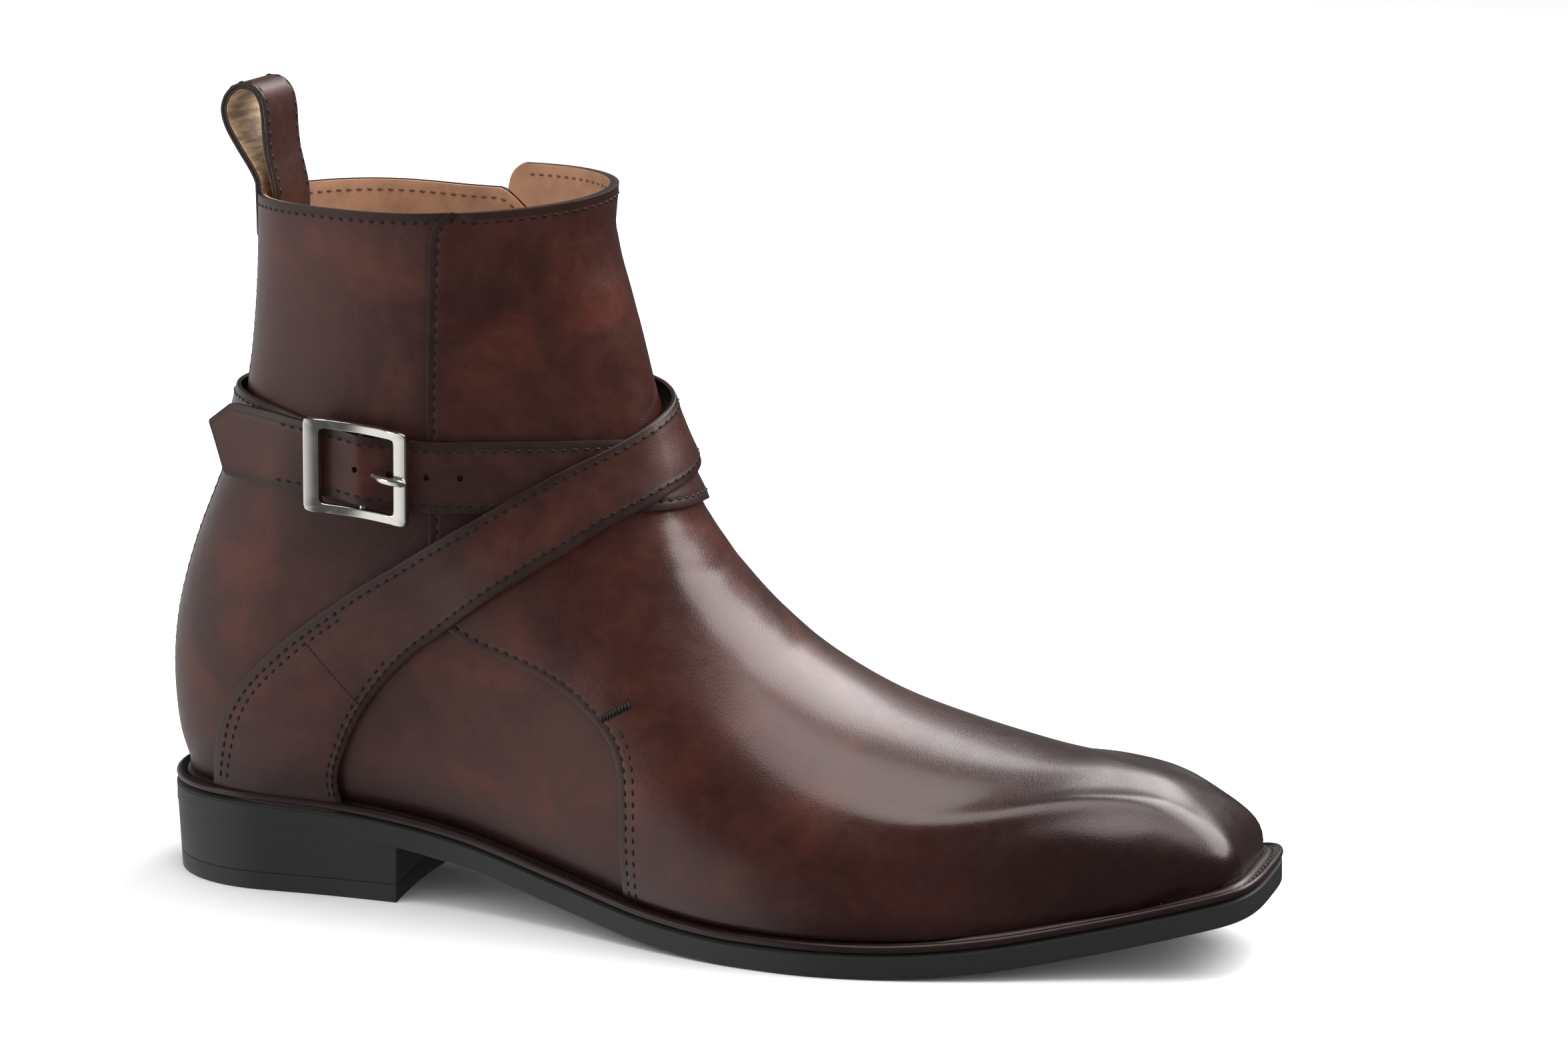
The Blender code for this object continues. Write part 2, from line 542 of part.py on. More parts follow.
def strap_grid(rows, steps, across, tree, tail=0.0):
    """Points of a strap's underside along its length and across its width, and its normals."""
    at = rows_at(rows, np.linspace(0, rows[-1][0], steps))
    points = []
    for turn_top, turn_low, middle, tall, lift in at:
        low, high = (middle * COLLAR_HEIGHT + k * tall * STRAP_WIDTH / 2 for k in (-1, 1))
        line = []
        for s in np.linspace(0, 1, across):
            turn = math.radians(turn_low + s * (turn_top - turn_low))
            z = low + s * (high - low)
            way = Vector((math.cos(turn), math.sin(turn), 0))
            hit = tree.ray_cast(Vector((*AXIS, z)), way)[0]
            if hit is None:
                raise ValueError(f"the strap leaves the upper at turn {turn_low:.0f}, height {z:.4f}")
            line.append(Vector(hit))
        points.append(line)
    points = np.array([[tuple(p) for p in line] for line in points])
    along, up = np.gradient(points, axis=0), np.gradient(points, axis=1)
    normal = np.cross(along, up)
    centre = np.array([*AXIS, 0])
    if ((points - centre) * normal)[..., :2].sum() < 0:
        normal = -normal
    normal /= np.linalg.norm(normal, axis=2, keepdims=True)
    points = points + normal * (at[:, -1] * 0.001)[:, None, None]
    if tail:
        run = points[-1] - points[-2]
        run = run.mean(axis=0) / np.linalg.norm(run.mean(axis=0))
        more = [points[-1] + run * tail * s for s in (0.35, 0.70, 1.0)]
        points = np.concatenate([points, more])
        normal = np.concatenate([normal, [normal[-1]] * 3])
        middle = points[-3:, :1] + TIP_POINT * (points[-3:, -1:] - points[-3:, :1])
        for k, narrow in enumerate((1.0, 0.97, 0.10)):
            points[-3 + k] = middle[k] + (points[-3 + k] - middle[k]) * narrow
    return points, normal


def strap(name, rows, steps, material, tree, tail=0.0, across=4):
    low, normal = strap_grid(rows, steps, across, tree, tail)
    high = low + normal * STRAP
    return loft(name, np.concatenate([low, high[:, ::-1]], axis=1), material)


tree = skin_tree(AROUND)
sole_top = board(
    "sole_top", 0, 1, 38, -0.004, lambda x: -0.01, lambda x: level(x) + OUTSOLE + WELT + GAP, cutter=True,
)
buckle_strap = strap("buckle_strap", BUCKLE_STRAP, 66, leather, tree)
tip_strap = strap("tip_strap", TIP_STRAP, 64, leather, tree, tail=0.0225)
for piece in (buckle_strap, tip_strap):
    cut(piece, sole_top)


# The buckle, in its own axes: u forward along the strap, w up, n out from the leg
BUCKLE_SHARE = (0.2224, 0.6321)
BUCKLE_SLOPE = -0.095
buckle_x, buckle_z = BUCKLE_SHARE[0] * LENGTH, BUCKLE_SHARE[1] * COLLAR_HEIGHT
buckle_y = tree.ray_cast(Vector((buckle_x, AXIS[1], buckle_z)), Vector((0, -1, 0)))[0].y
BUCKLE_AT = (buckle_x, buckle_y - BUCKLE_SEAT, buckle_z)


def buckle_point(u, w, n):
    x, y, z = BUCKLE_AT
    return (x + u, y - n, z + w + BUCKLE_SLOPE * u)


def sag(u):
    """How far the frame stands off the leg: less at its middle."""
    return 0.0049 - 0.0013 * math.cos(min(abs(u) / 0.0125, 1.0) * math.pi / 2) ** 2


def buckle_frame():
    outer_u, outer_w = (-0.526 * BUCKLE_LENGTH, 0.481 * BUCKLE_LENGTH), BUCKLE_HALF
    inner_u, inner_w = (outer_u[0] + PLATE, outer_u[1] - RAIL), BUCKLE_HALF - RAIL
    rings = []
    steps = 24
    for k in range(steps):
        a = 2 * math.pi * (k + 0.5) / steps
        c, s = math.cos(a), math.sin(a)
        square = (abs(c) ** 12 + abs(s) ** 12) ** (-1 / 12)
        c, s = c * square, s * square
        at = [
            (side_u[1] * c if c > 0 else -side_u[0] * c, side_w * s)
            for side_u, side_w in ((inner_u, inner_w), (outer_u, outer_w))
        ]
        (iu, iw), (ou, ow) = at
        mu, mw = (iu + ou) / 2, (iw + ow) / 2
        low, high = sag(mu), sag(mu) + BAR
        edge = 0.28 * BAR
        blend = lambda f: (iu + (ou - iu) * f, iw + (ow - iw) * f)
        rings.append([
            buckle_point(*blend(0.15), low), buckle_point(*blend(0.85), low),
            buckle_point(ou, ow, low + edge), buckle_point(ou, ow, high - edge),
            buckle_point(*blend(0.80), high), buckle_point(*blend(0.20), high),
            buckle_point(iu, iw, high - edge), buckle_point(iu, iw, low + edge),
        ])
    return loft("buckle_frame", rings, nickel, closed=True)


def rod(name, path, radius, sides=10, material=None, cutter=False, up=(0, 0, 1)):
    """A round bar along a path, its radius given at each point."""
    path = np.array(path, float)
    run = np.gradient(path, axis=0)
    rings = []
    for p, d, r in zip(path, run, radius):
        d = d / np.linalg.norm(d)
        a = np.cross(d, up)
        a /= np.linalg.norm(a)
        b = np.cross(d, a)
        rings.append([
            p + r * (a * math.cos(2 * math.pi * k / sides) + b * math.sin(2 * math.pi * k / sides))
            for k in range(sides)
        ])
    return loft(name, rings, material, cutter)


frame = buckle_frame()
bar = rod(
    "centre_bar", [buckle_point(0, w, 0.0034) for w in (0.0011 - BUCKLE_HALF, BUCKLE_HALF - 0.0011)],
    (0.0010, 0.0010), 12, cutter=True, up=(0, 1, 0),
)
cut(frame, bar, "UNION")
prong = rod("buckle_prong", [
    buckle_point(u, -0.0006, n) for u, n in
    ((0.0026, 0.0029), (0.0038, 0.0046), (0.0052, 0.0068), (0.0085, 0.0082), (0.0125, 0.0084), (0.0142, 0.0083))
], (0.0008, 0.0009, 0.0010, 0.0010, 0.0009, 0.0006), 8, nickel)

# Holes along the tip strap; the prong stands in the second from the buckle's middle
for k, at in enumerate((-0.0052, 0.0040, 0.0040 + HOLE_SPACING, 0.0040 + 2 * HOLE_SPACING)):
    wide = 1.65 if k == 1 else 1.0
    hole = loft(f"hole_{k + 1}", [
        [buckle_point(
            at + wide * HOLE / 2 * math.cos(math.pi * i / 5), 0.035 * at - 0.0006 + HOLE / 2 * math.sin(math.pi * i / 5), n
        ) for i in range(10)] for n in (-0.001, 0.012)
    ], cutter=True)
    if k == 2:
        continue
    cut(tip_strap, hole)

# The pull loop's side view, from inside the collar up, back and over, and down again
LOOP_PATH = [
    # x, z
    (0.0925, 0.9945), (0.0905, 1.008), (0.0840, 1.028), (0.0730, 1.055), (0.0630, 1.083), (0.0595, 1.107),
    (0.0640, 1.127), (0.0740, 1.139), (0.0850, 1.1380), (0.0930, 1.125), (0.0965, 1.102), (0.0975, 1.075),
    (0.0995, 1.045), (0.1040, 1.015), (0.1075, 0.985), (0.1080, 0.930),
]


def ribbon(name, path, width, thick, middle_y, material, smooth=3):
    """A strap seen from the side: a path of (x, z) shares with a thickness, and a width across the boot."""
    path = np.array([(x * LENGTH, z * COLLAR_HEIGHT) for x, z in path])
    at = np.linspace(0, len(path) - 1, (len(path) - 1) * smooth + 1)
    path = rows_at(np.column_stack([np.arange(len(path)), path]), at)
    run = np.gradient(path, axis=0)
    side = np.stack([-run[:, 1], run[:, 0]], 1) / np.linalg.norm(run, axis=1, keepdims=True)
    rings = []
    for p, s in zip(path, side):
        a, b = p + s * thick / 2, p - s * thick / 2
        rings.append([
            (a[0], middle_y - width / 2, a[1]), (a[0], middle_y + width / 2, a[1]),
            (b[0], middle_y + width / 2, b[1]), (b[0], middle_y - width / 2, b[1]),
        ])
    return loft(name, rings, material)


pull_loop = ribbon("pull_loop", LOOP_PATH, LOOP_WIDTH, LOOP, 0.0011, leather)
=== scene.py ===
"""The looks of the jodhpur boot: leather, lining, straps, buckle, stitches and sole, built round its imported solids.

The row frame, in metres: +X to the toe, -Y to the outer side, +Z up, the floor at z = 0.
"""

import math

import bmesh
import bpy
import numpy as np
from bpy.props import FloatProperty, FloatVectorProperty, PointerProperty
from mathutils import Matrix, Vector
from mathutils.bvhtree import BVHTree
from mathutils.kdtree import KDTree


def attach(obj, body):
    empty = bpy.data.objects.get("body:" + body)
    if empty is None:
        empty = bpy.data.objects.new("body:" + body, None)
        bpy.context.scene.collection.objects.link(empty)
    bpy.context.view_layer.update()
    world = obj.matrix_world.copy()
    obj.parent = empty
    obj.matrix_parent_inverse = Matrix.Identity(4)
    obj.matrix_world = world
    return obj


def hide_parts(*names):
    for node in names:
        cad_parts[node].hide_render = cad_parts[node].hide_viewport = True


bl_info = {
    "name": "Jodhpur boot",
    "version": (1, 0, 0),
    "blender": (4, 5, 0),
    "location": "3D View > Sidebar > Boot",
    "description": "Builds a polished two-strap jodhpur boot round its packed solids",
    "category": "Add Mesh",
}

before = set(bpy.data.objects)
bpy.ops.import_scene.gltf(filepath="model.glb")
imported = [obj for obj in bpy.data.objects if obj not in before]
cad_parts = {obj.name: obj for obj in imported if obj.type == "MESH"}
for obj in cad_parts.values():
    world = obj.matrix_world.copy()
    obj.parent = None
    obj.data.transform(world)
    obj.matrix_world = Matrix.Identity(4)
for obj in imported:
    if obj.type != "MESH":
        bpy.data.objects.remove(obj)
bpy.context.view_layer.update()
MM = 0.001

# The last and the sole, as the solids have them
LENGTH = 0.308
BALL_WIDTH = 0.108
ORIGIN_X = 0.15285
COLLAR_HEIGHT = 0.190
HEEL_RISE = 0.0185
OUTSOLE = 0.0066
WELT = 0.0026
FEATHER_INSET = 0.0036
FEATHER_GAP = 0.00048
TOE_SHELF = 0.0025
HEEL_LENGTH = 0.076
TOP_LIFT = 0.0050
HEEL_TAPER = 0.0012
MEDIAL_DIP = 0.0035
LATERAL_DIP = 0.0018
FRONT_DIP = 0.0085
SIDE_REACH = 0.020
DIP_AT, DIP_REACH = 0.27 * LENGTH, 0.030
DIP_START, DIP_SKEW, DIP_RUN = 0.281, 0.019, 0.045
COLLAR_SLOPE = 0.045
PANEL_RISE = 0.0006
PANEL_TILT = 0.070
PANEL_LEAN = 0.0008
SEAM_SKEW = 0.055
SEAM_Y = -0.32 * BALL_WIDTH
TIP_POINT = 0.68

# The sole from heel to toe, in shares of LENGTH, BALL_WIDTH and HEEL_RISE
SOLE = [
    # station, lateral, medial, underside
    (0.00, 0.290, 0.335, 1.000),
    (0.10, 0.285, 0.340, 1.000),
    (0.20, 0.270, 0.335, 0.915),
    (0.30, 0.280, 0.315, 0.690),
    (0.40, 0.345, 0.317, 0.350),
    (0.50, 0.438, 0.367, 0.075),
    (0.57, 0.486, 0.430, 0.000),
    (0.65, 0.500, 0.492, 0.000),
    (0.71, 0.470, 0.500, 0.010),
    (0.78, 0.408, 0.477, 0.105),
    (0.86, 0.320, 0.407, 0.330),
    (0.93, 0.246, 0.329, 0.585),
    (1.00, 0.186, 0.253, 0.900),
]
HEEL_ROUND, HEEL_SQUARE = 0.115, 2.15
TOE_ROUND, TOE_SQUARE = 0.960, 3.6

# Sections of the upper that stand on the sole, toe to heel
FOOT = [
    # station, top_x, top_z, ridge_y, half, widest, fullness, heel, dome
    (0.9220, 0.9785, 0.1350, 0.038, 0.262, 0.000, 3.00, 2.2, 0.00),
    (0.9150, 0.9780, 0.1465, 0.040, 0.268, 0.020, 3.00, 2.2, 0.00),
    (0.9070, 0.9745, 0.1620, 0.042, 0.275, 0.040, 3.00, 2.2, 0.20),
    (0.8960, 0.9655, 0.1800, 0.044, 0.284, 0.070, 3.00, 2.2, 0.50),
    (0.8800, 0.9440, 0.2045, 0.046, 0.297, 0.100, 3.00, 2.2, 0.80),
    (0.8570, 0.9070, 0.2340, 0.048, 0.318, 0.140, 2.90, 2.2, 1.00),
    (0.8250, 0.8540, 0.2515, 0.048, 0.346, 0.170, 2.70, 2.2, 1.00),
    (0.7800, 0.7890, 0.2625, 0.046, 0.395, 0.190, 2.40, 2.2, 1.00),
    (0.7270, 0.7170, 0.2865, 0.042, 0.448, 0.210, 2.10, 2.2, 1.00),
    (0.6720, 0.6450, 0.3230, 0.037, 0.477, 0.220, 1.90, 2.2, 1.00),
    (0.6140, 0.5830, 0.3790, 0.032, 0.470, 0.220, 1.80, 2.2, 1.00),
    (0.5520, 0.5410, 0.4390, 0.028, 0.443, 0.230, 1.75, 2.2, 1.00),
    (0.4870, 0.5115, 0.4950, 0.023, 0.407, 0.260, 1.80, 2.2, 1.00),
    (0.4190, 0.4925, 0.5400, 0.018, 0.375, 0.290, 1.90, 2.3, 1.00),
    (0.3470, 0.4815, 0.5740, 0.014, 0.348, 0.320, 2.00, 2.4, 1.00),
    (0.2760, 0.4740, 0.6010, 0.010, 0.333, 0.350, 2.00, 2.6, 1.00),
    (0.2080, 0.4685, 0.6230, 0.009, 0.324, 0.370, 2.10, 2.8, 1.00),
    (0.1460, 0.4635, 0.6410, 0.009, 0.320, 0.380, 2.20, 3.0, 1.00),
    (0.0940, 0.4597, 0.6550, 0.009, 0.319, 0.380, 2.20, 3.0, 1.00),
    (0.0540, 0.4568, 0.6660, 0.009, 0.318, 0.385, 2.20, 3.0, 1.00),
    (0.0270, 0.4545, 0.6750, 0.009, 0.317, 0.390, 2.20, 3.0, 1.00),
    (0.0150, 0.4525, 0.6830, 0.009, 0.317, 0.390, 2.20, 3.0, 1.00),
    (0.0117, 0.4505, 0.6900, 0.009, 0.317, 0.390, 2.20, 3.0, 1.00),
]
# Rings of the shaft, from the heel's back up to the collar
SHAFT = [
    # back_x, back_z, back_y, top_x, top_z, ridge_y, half, widest, fullness, heel
    (0.0025, 0.1900, 0.0260, 0.4473, 0.7040, 0.009, 0.317, 0.390, 2.2, 3.0),
    (-0.0022, 0.2470, 0.0250, 0.4428, 0.7280, 0.009, 0.315, 0.400, 2.2, 3.0),
    (-0.0030, 0.3050, 0.0240, 0.4385, 0.7520, 0.008, 0.313, 0.410, 2.2, 2.9),
    (0.0015, 0.3680, 0.0220, 0.4346, 0.7760, 0.008, 0.310, 0.420, 2.2, 2.8),
    (0.0110, 0.4310, 0.0200, 0.4308, 0.8000, 0.007, 0.307, 0.430, 2.2, 2.7),
    (0.0240, 0.4940, 0.0180, 0.4268, 0.8240, 0.007, 0.305, 0.440, 2.2, 2.6),
    (0.0400, 0.5570, 0.0160, 0.4226, 0.8470, 0.006, 0.304, 0.450, 2.2, 2.5),
    (0.0555, 0.6200, 0.0140, 0.4184, 0.8710, 0.006, 0.304, 0.460, 2.2, 2.4),
    (0.0675, 0.6830, 0.0130, 0.4142, 0.8950, 0.005, 0.305, 0.470, 2.2, 2.3),
    (0.0755, 0.7490, 0.0120, 0.4101, 0.9180, 0.005, 0.307, 0.480, 2.2, 2.2),
    (0.0800, 0.8150, 0.0110, 0.4068, 0.9420, 0.004, 0.310, 0.490, 2.2, 2.2),
    (0.0828, 0.8810, 0.0100, 0.4045, 0.9660, 0.004, 0.313, 0.495, 2.2, 2.2),
    (0.0838, 0.9380, 0.0100, 0.4029, 0.9900, 0.003, 0.315, 0.500, 2.2, 2.2),
    (0.0840, 0.9900, 0.0100, 0.4015, 1.0130, 0.003, 0.317, 0.500, 2.2, 2.2),
]
# The vamp's edge in side view, from the welt up to the collar, in shares of COLLAR_HEIGHT and LENGTH
SEAM = [
    # z, x
    (0.0200, 0.4700), (0.1600, 0.4690), (0.2100, 0.4670), (0.2500, 0.4630), (0.2770, 0.4560),
    (0.3020, 0.4420), (0.3270, 0.4200), (0.3510, 0.3920), (0.3680, 0.3620), (0.3830, 0.3310),
    (0.4060, 0.3010), (0.4420, 0.2860), (0.5000, 0.2800), (0.6000, 0.2785), (0.7100, 0.2765),
    (0.8000, 0.2785), (0.9400, 0.2828), (0.9620, 0.2838), (0.9780, 0.2865), (0.9890, 0.2920),
    (0.9960, 0.2990), (1.0020, 0.3080), (1.1200, 0.3250),
]
# The toe's ridge on the outer side: its place in metres and how far it stands off the last's plain form
TOE_RIDGE = [
    # x, y, z, rise
    (0.1880, -0.0410, 0.0480, 0.00000), (0.2000, -0.0405, 0.0433, 0.00010), (0.2130, -0.0396, 0.0392, 0.00040),
    (0.2255, -0.0364, 0.0380, 0.00070), (0.2380, -0.0309, 0.0390, 0.00090), (0.2500, -0.0243, 0.0411, 0.00100),
    (0.2680, -0.0165, 0.0423, 0.00100), (0.2790, -0.0125, 0.0413, 0.00090), (0.2860, -0.0108, 0.0392, 0.00060),
    (0.2925, -0.0110, 0.0357, 0.00030), (0.2990, -0.0120, 0.0314, 0.00010), (0.3030, -0.0120, 0.0290, 0.00000),
]
TOE_MIDDLE = 0.0050
# The relief about that ridge: its share of the rise, where it lies off the ridge and how far it reaches
TOE_RELIEF = [
    # share, off, up, reach
    (1.0, 0.0, 0.0, 0.0040), (-0.60, 0.0100, 0.0030, 0.0072), (-0.40, -0.0055, -0.0105, 0.0085),
]
# Walking creases across the front: a place on them, their slope in side view, depth and half length
CREASES = [
    # x, z, slope, depth, reach
    (0.1440, 0.1165, 0.30, 0.00010, 0.018), (0.1490, 0.1060, 0.10, 0.00014, 0.020),
    (0.1575, 0.0945, -0.10, 0.00011, 0.022), (0.1780, 0.0735, -0.55, 0.00008, 0.022),
]
# Straps, by the turn about the ankle's upright axis and the heights of their two edges
AXIS = (0.080, 0.002)
BUCKLE_STRAP = [
    # step, turn_top, top, turn_low, low, lift
    (0, -157, 0.120, -129, 0.115, 1.30),
    (1, -154, 0.195, -125, 0.178, 1.30),
    (2, -150, 0.265, -119, 0.228, 1.20),
    (3, -144, 0.328, -112, 0.276, 0.9),
    (4, -133, 0.393, -102, 0.322, 0.7),
    (5, -115, 0.454, -88, 0.368, 0.9),
    (6, -94, 0.500, -72, 0.408, 1.6),
    (7, -74, 0.540, -58, 0.446, 3.4),
    (8, -56, 0.576, -45, 0.484, 4.2),
    (9, -41, 0.612, -33, 0.524, 4.2),
    (10, -29, 0.642, -23, 0.562, 4.2),
    (11, -18, 0.668, -14, 0.588, 4.2),
    (12, -8, 0.694, -6, 0.606, 4.3),
    (13, 2, 0.716, 2, 0.620, 4.3),
    (14, 14, 0.733, 14, 0.632, 4.2),
    (15, 30, 0.742, 30, 0.640, 3.8),
    (16, 50, 0.742, 50, 0.639, 2.3),
    (17, 75, 0.736, 75, 0.633, 1.6),
    (18, 100, 0.729, 100, 0.627, 1.5),
    (19, 125, 0.723, 125, 0.621, 1.5),
    (20, 150, 0.719, 150, 0.617, 1.6),
    (21, 170, 0.717, 170, 0.615, 1.7),
    (22, 190, 0.715, 190, 0.613, 1.7),
    (23, 203, 0.712, 203, 0.610, 1.3),
    (24, 216, 0.706, 216, 0.604, 0.6),
    (25, 230, 0.694, 230, 0.592, 0.4),
    (26, 243, 0.686, 243, 0.584, 0.4),
    (27, 253, 0.682, 253, 0.580, 0.4),
]
TIP_STRAP = [
    (0, 157, 0.120, 129, 0.115, 1.30),
    (1, 154, 0.195, 125, 0.178, 1.30),
    (2, 150, 0.262, 119, 0.226, 0.9),
    (3, 144, 0.322, 112, 0.272, 0.8),
    (4, 132, 0.384, 101, 0.316, 0.7),
    (5, 114, 0.442, 87, 0.360, 0.9),
    (6, 93, 0.486, 71, 0.398, 1.70),
    (7, 73, 0.524, 57, 0.434, 1.90),
    (8, 55, 0.558, 44, 0.470, 1.90),
    (9, 40, 0.590, 33, 0.506, 1.90),
    (10, 28, 0.620, 23, 0.538, 1.90),
    (11, 16, 0.646, 13, 0.562, 1.90),
    (12, 4, 0.664, 3, 0.574, 1.90),
    (13, -8, 0.672, -8, 0.577, 1.90),
    (14, -22, 0.678, -22, 0.578, 1.90),
    (15, -40, 0.679, -40, 0.578, 1.90),
    (16, -58, 0.678, -58, 0.577, 1.90),
    (17, -76, 0.676, -76, 0.576, 1.90),
    (18, -89, 0.677, -89, 0.576, 1.9),
    (19, -99, 0.679, -99, 0.580, 2.9),
    (20, -109, 0.683, -109, 0.584, 4.7),
    (21, -119, 0.688, -119, 0.589, 3.2),
    (22, -129, 0.692, -129, 0.593, 2.5),
    (23, -140, 0.697, -140, 0.595, 2.7),
]
# The pull loop's side view, from inside the collar up, back and over, and down again
LOOP_PATH = [
    # x, z
    (0.0925, 0.9300), (0.0915, 0.9945), (0.0905, 1.008), (0.0840, 1.028), (0.0730, 1.055), (0.0630, 1.083),
    (0.0595, 1.107), (0.0640, 1.127), (0.0740, 1.139), (0.0850, 1.1380), (0.0930, 1.125), (0.0965, 1.102),
    (0.0975, 1.075), (0.0995, 1.045), (0.1040, 1.015), (0.1075, 0.985), (0.1080, 0.930),
]
BUCKLE_AT = (0.0685, -0.0316, 0.1201)
BUCKLE_SLOPE = -0.095
# Holes of the tip strap, along the leg from the buckle's bar; the prong stands in the second
HOLES = (-0.0012, 0.0076, 0.0176, 0.0266)
HOLE_RADIUS, HOLE_DEPTH = 0.00085, 0.0011
# Where the front panel stands over the quarters, and how far its back is set in above their rim
UNDER_VAMP, PANEL_INNER = 0.00008, -0.0012
LAYER_GAP = 0.00005
BACK_Y, BACKSTAY_HALF, BACKSTAY_THICK = 0.0018, 0.0060, 0.00105
BACKSTAY_FOOT, BACKSTAY_TOP = 0.0285, 0.1877
LOOP_Y, LOOP_THICK, LOOP_STEPS = 0.0011, 0.0011, 120
TIP_LENGTH, TIP_START = 0.0225, 0.70
BAR_AT, BAR_RADIUS, PRONG_EYE = 0.0034, 0.0010, 0.00165
FRAME_THICK = 0.0021
HEEL_Y, BREAST_HOLLOW = 0.003, 0.0022
# Rows of stitches along the vamp: how far in from its cut edge, and how high they run
VAMP_ROWS = ((0.0021, 1.0), (0.0044, 0.30))
# Rows along a strap: how far in from each edge, and how far along; the second is at the anchor
STRAP_ROWS = ((0.0023, None), (0.0042, 0.17))
SMOOTH_ANGLE = math.radians(40)
WELD = 2e-6
# Points in the grids of the skin and the front panel, and in the search for the vamp's edge
FOOT_ROWS, SHAFT_ROWS, COLUMNS, PANEL_ROWS = 177, 113, 120, 10
FINE = 480
# Lights: place, what they aim at, width, height, power
LAMPS = {
    "back softbox": ((0.78, 0.80, 1.18), (0.05, 0.0, 0.06), 2.3, 0.85, 36),
    "overhead softbox": ((0.20, -0.10, 1.5), (0.02, 0.0, 0.08), 1.0, 0.8, 10),
    "left softbox": ((-1.5, -1.1, 0.7), (0.0, 0.0, 0.1), 0.8, 0.9, 5),
}
CAMERA_AT = (0.40303, -1.19452, 0.37671)
CAMERA_YAW, CAMERA_PITCH, CAMERA_ROLL = (math.radians(a) for a in (17.72, 12.14, 0.644))
CAMERA_LENS, SENSOR_WIDTH = 111.3, 36.0


def length(name, description, default):
    return FloatProperty(name=name, description=description, default=default, unit="LENGTH")


def colour(name, description, default):
    return FloatVectorProperty(name=name, description=description, subtype="COLOR", default=default)


class BootSizes(bpy.types.PropertyGroup):
    """Sizes of the leather, thread and metal"""

    quarter: length("Quarter leather", "Thickness of the outer leather", 0.0013)
    lining: length("Lining leather", "Thickness of the lining", 0.0010)
    vamp: length("Vamp leather", "How far the vamp stands over the quarters", 0.0012)
    strap: length("Strap", "Thickness of a strap", 0.0016)
    stitch: length("Stitch length", "Length of one stitch", 0.0022)
    pitch: length("Stitch spacing", "From one stitch to the next", 0.0030)
    thread: length("Thread", "Thickness of the upper's thread", 0.00080)
    loop_width: length("Pull loop width", "Width of the pull loop", 0.0205)
    buckle_height: length("Buckle height", "Height of the buckle frame", 0.0246)


class BootColours(bpy.types.PropertyGroup):
    """Colours of the boot's finishes"""

    brown: colour("Calf brown", "The leather's middle brown", (0.043, 0.0100, 0.0064))
    # The dark brown serves the burnish and also the painted shade along cut edges and near the welt line
    dark: colour("Burnish and painted shade", "The burnished dark brown", (0.0105, 0.0026, 0.0024))
    red: colour("Red patches", "The red-brown that shows through", (0.076, 0.0138, 0.0068))
    edge: colour("Cut edge", "Dyed cut edges", (0.0220, 0.0115, 0.0095))
    lining: colour("Lining", "Tan lining leather", (0.40, 0.215, 0.125))
    loop: colour("Loop lining", "Pale lining of the pull loop", (0.40, 0.275, 0.165))
    tan_thread: colour("Lining thread", "Thread of the lining", (0.16, 0.070, 0.036))
    thread: colour("Thread", "The upper's thread", (0.0065, 0.0030, 0.0026))
    rubber: colour("Sole", "Charcoal sole rubber", (0.0135, 0.0135, 0.0140))
    nickel: colour("Nickel", "Buckle metal", (0.86, 0.83, 0.78))


# Tables and curves


def rows_at(rows, t):
    """The columns of a table at t, by a smooth cubic through its rows."""
    rows = np.array(rows, float)
    key, values = rows[:, 0], rows[:, 1:]
    t = np.clip(np.atleast_1d(np.asarray(t, float)), key[0], key[-1])
    step = np.diff(key)
    slope = np.diff(values, axis=0) / step[:, None]
    tangent = np.empty_like(values)
    tangent[0], tangent[-1] = slope[0], slope[-1]
    share = (step[1:] / (step[:-1] + step[1:]))[:, None]
    tangent[1:-1] = share * slope[:-1] + (1 - share) * slope[1:]
    k = np.clip(np.searchsorted(key, t, side="right") - 1, 0, len(key) - 2)
    s = ((t - key[k]) / step[k])[:, None]
    h = step[k][:, None]
    return (
        (2 * s**3 - 3 * s**2 + 1) * values[k]
        + (s**3 - 2 * s**2 + s) * h * tangent[k]
        + (3 * s**2 - 2 * s**3) * values[k + 1]
        + (s**3 - s**2) * h * tangent[k + 1]
    )


def smooth(x, low, high):
    s = np.clip((np.asarray(x, float) - low) / (high - low), 0, 1)
    return s * s * (3 - 2 * s)


def outline(t, inset=0.0):
    """x, middle y and half width of the sole's edge at share t, set in by inset."""
    t = np.atleast_1d(np.asarray(t, float))
    lateral, medial, _ = (rows_at(SOLE, t) * BALL_WIDTH).T
    back = np.clip(1 - t / HEEL_ROUND, 0, 1)
    front = np.clip((t - TOE_ROUND) / (1 - TOE_ROUND), 0, 1)
    close = (1 - back**HEEL_SQUARE) ** (1 / HEEL_SQUARE) * (1 - front**TOE_SQUARE) ** (1 / TOE_SQUARE)
    x = inset + t * (LENGTH - 2 * inset)
    return x, (medial - lateral) / 2, ((medial + lateral) / 2 - inset) * close


UNDER_AT = np.linspace(0, 1, 1601)
UNDER = np.maximum(rows_at([(r[0], r[3]) for r in SOLE], UNDER_AT)[:, 0] * HEEL_RISE, 0.0)


def underside(x):
    """Height of the outsole's lower face."""
    return np.interp(np.asarray(x, float) / LENGTH, UNDER_AT, UNDER)


def feather(x):
    """Height of the line where the upper meets the welt."""
    return underside(x) + OUTSOLE + WELT + FEATHER_GAP


def placed(points):
    points = np.asarray(points, float).copy()
    points[..., 0] -= ORIGIN_X
    return points


def unit(vectors):
    return vectors / np.maximum(np.linalg.norm(vectors, axis=-1, keepdims=True), 1e-12)


def run_of(path):
    """The length along a polyline at each of its points."""
    return np.concatenate([[0], np.cumsum(np.linalg.norm(np.diff(path, axis=0), axis=1))])


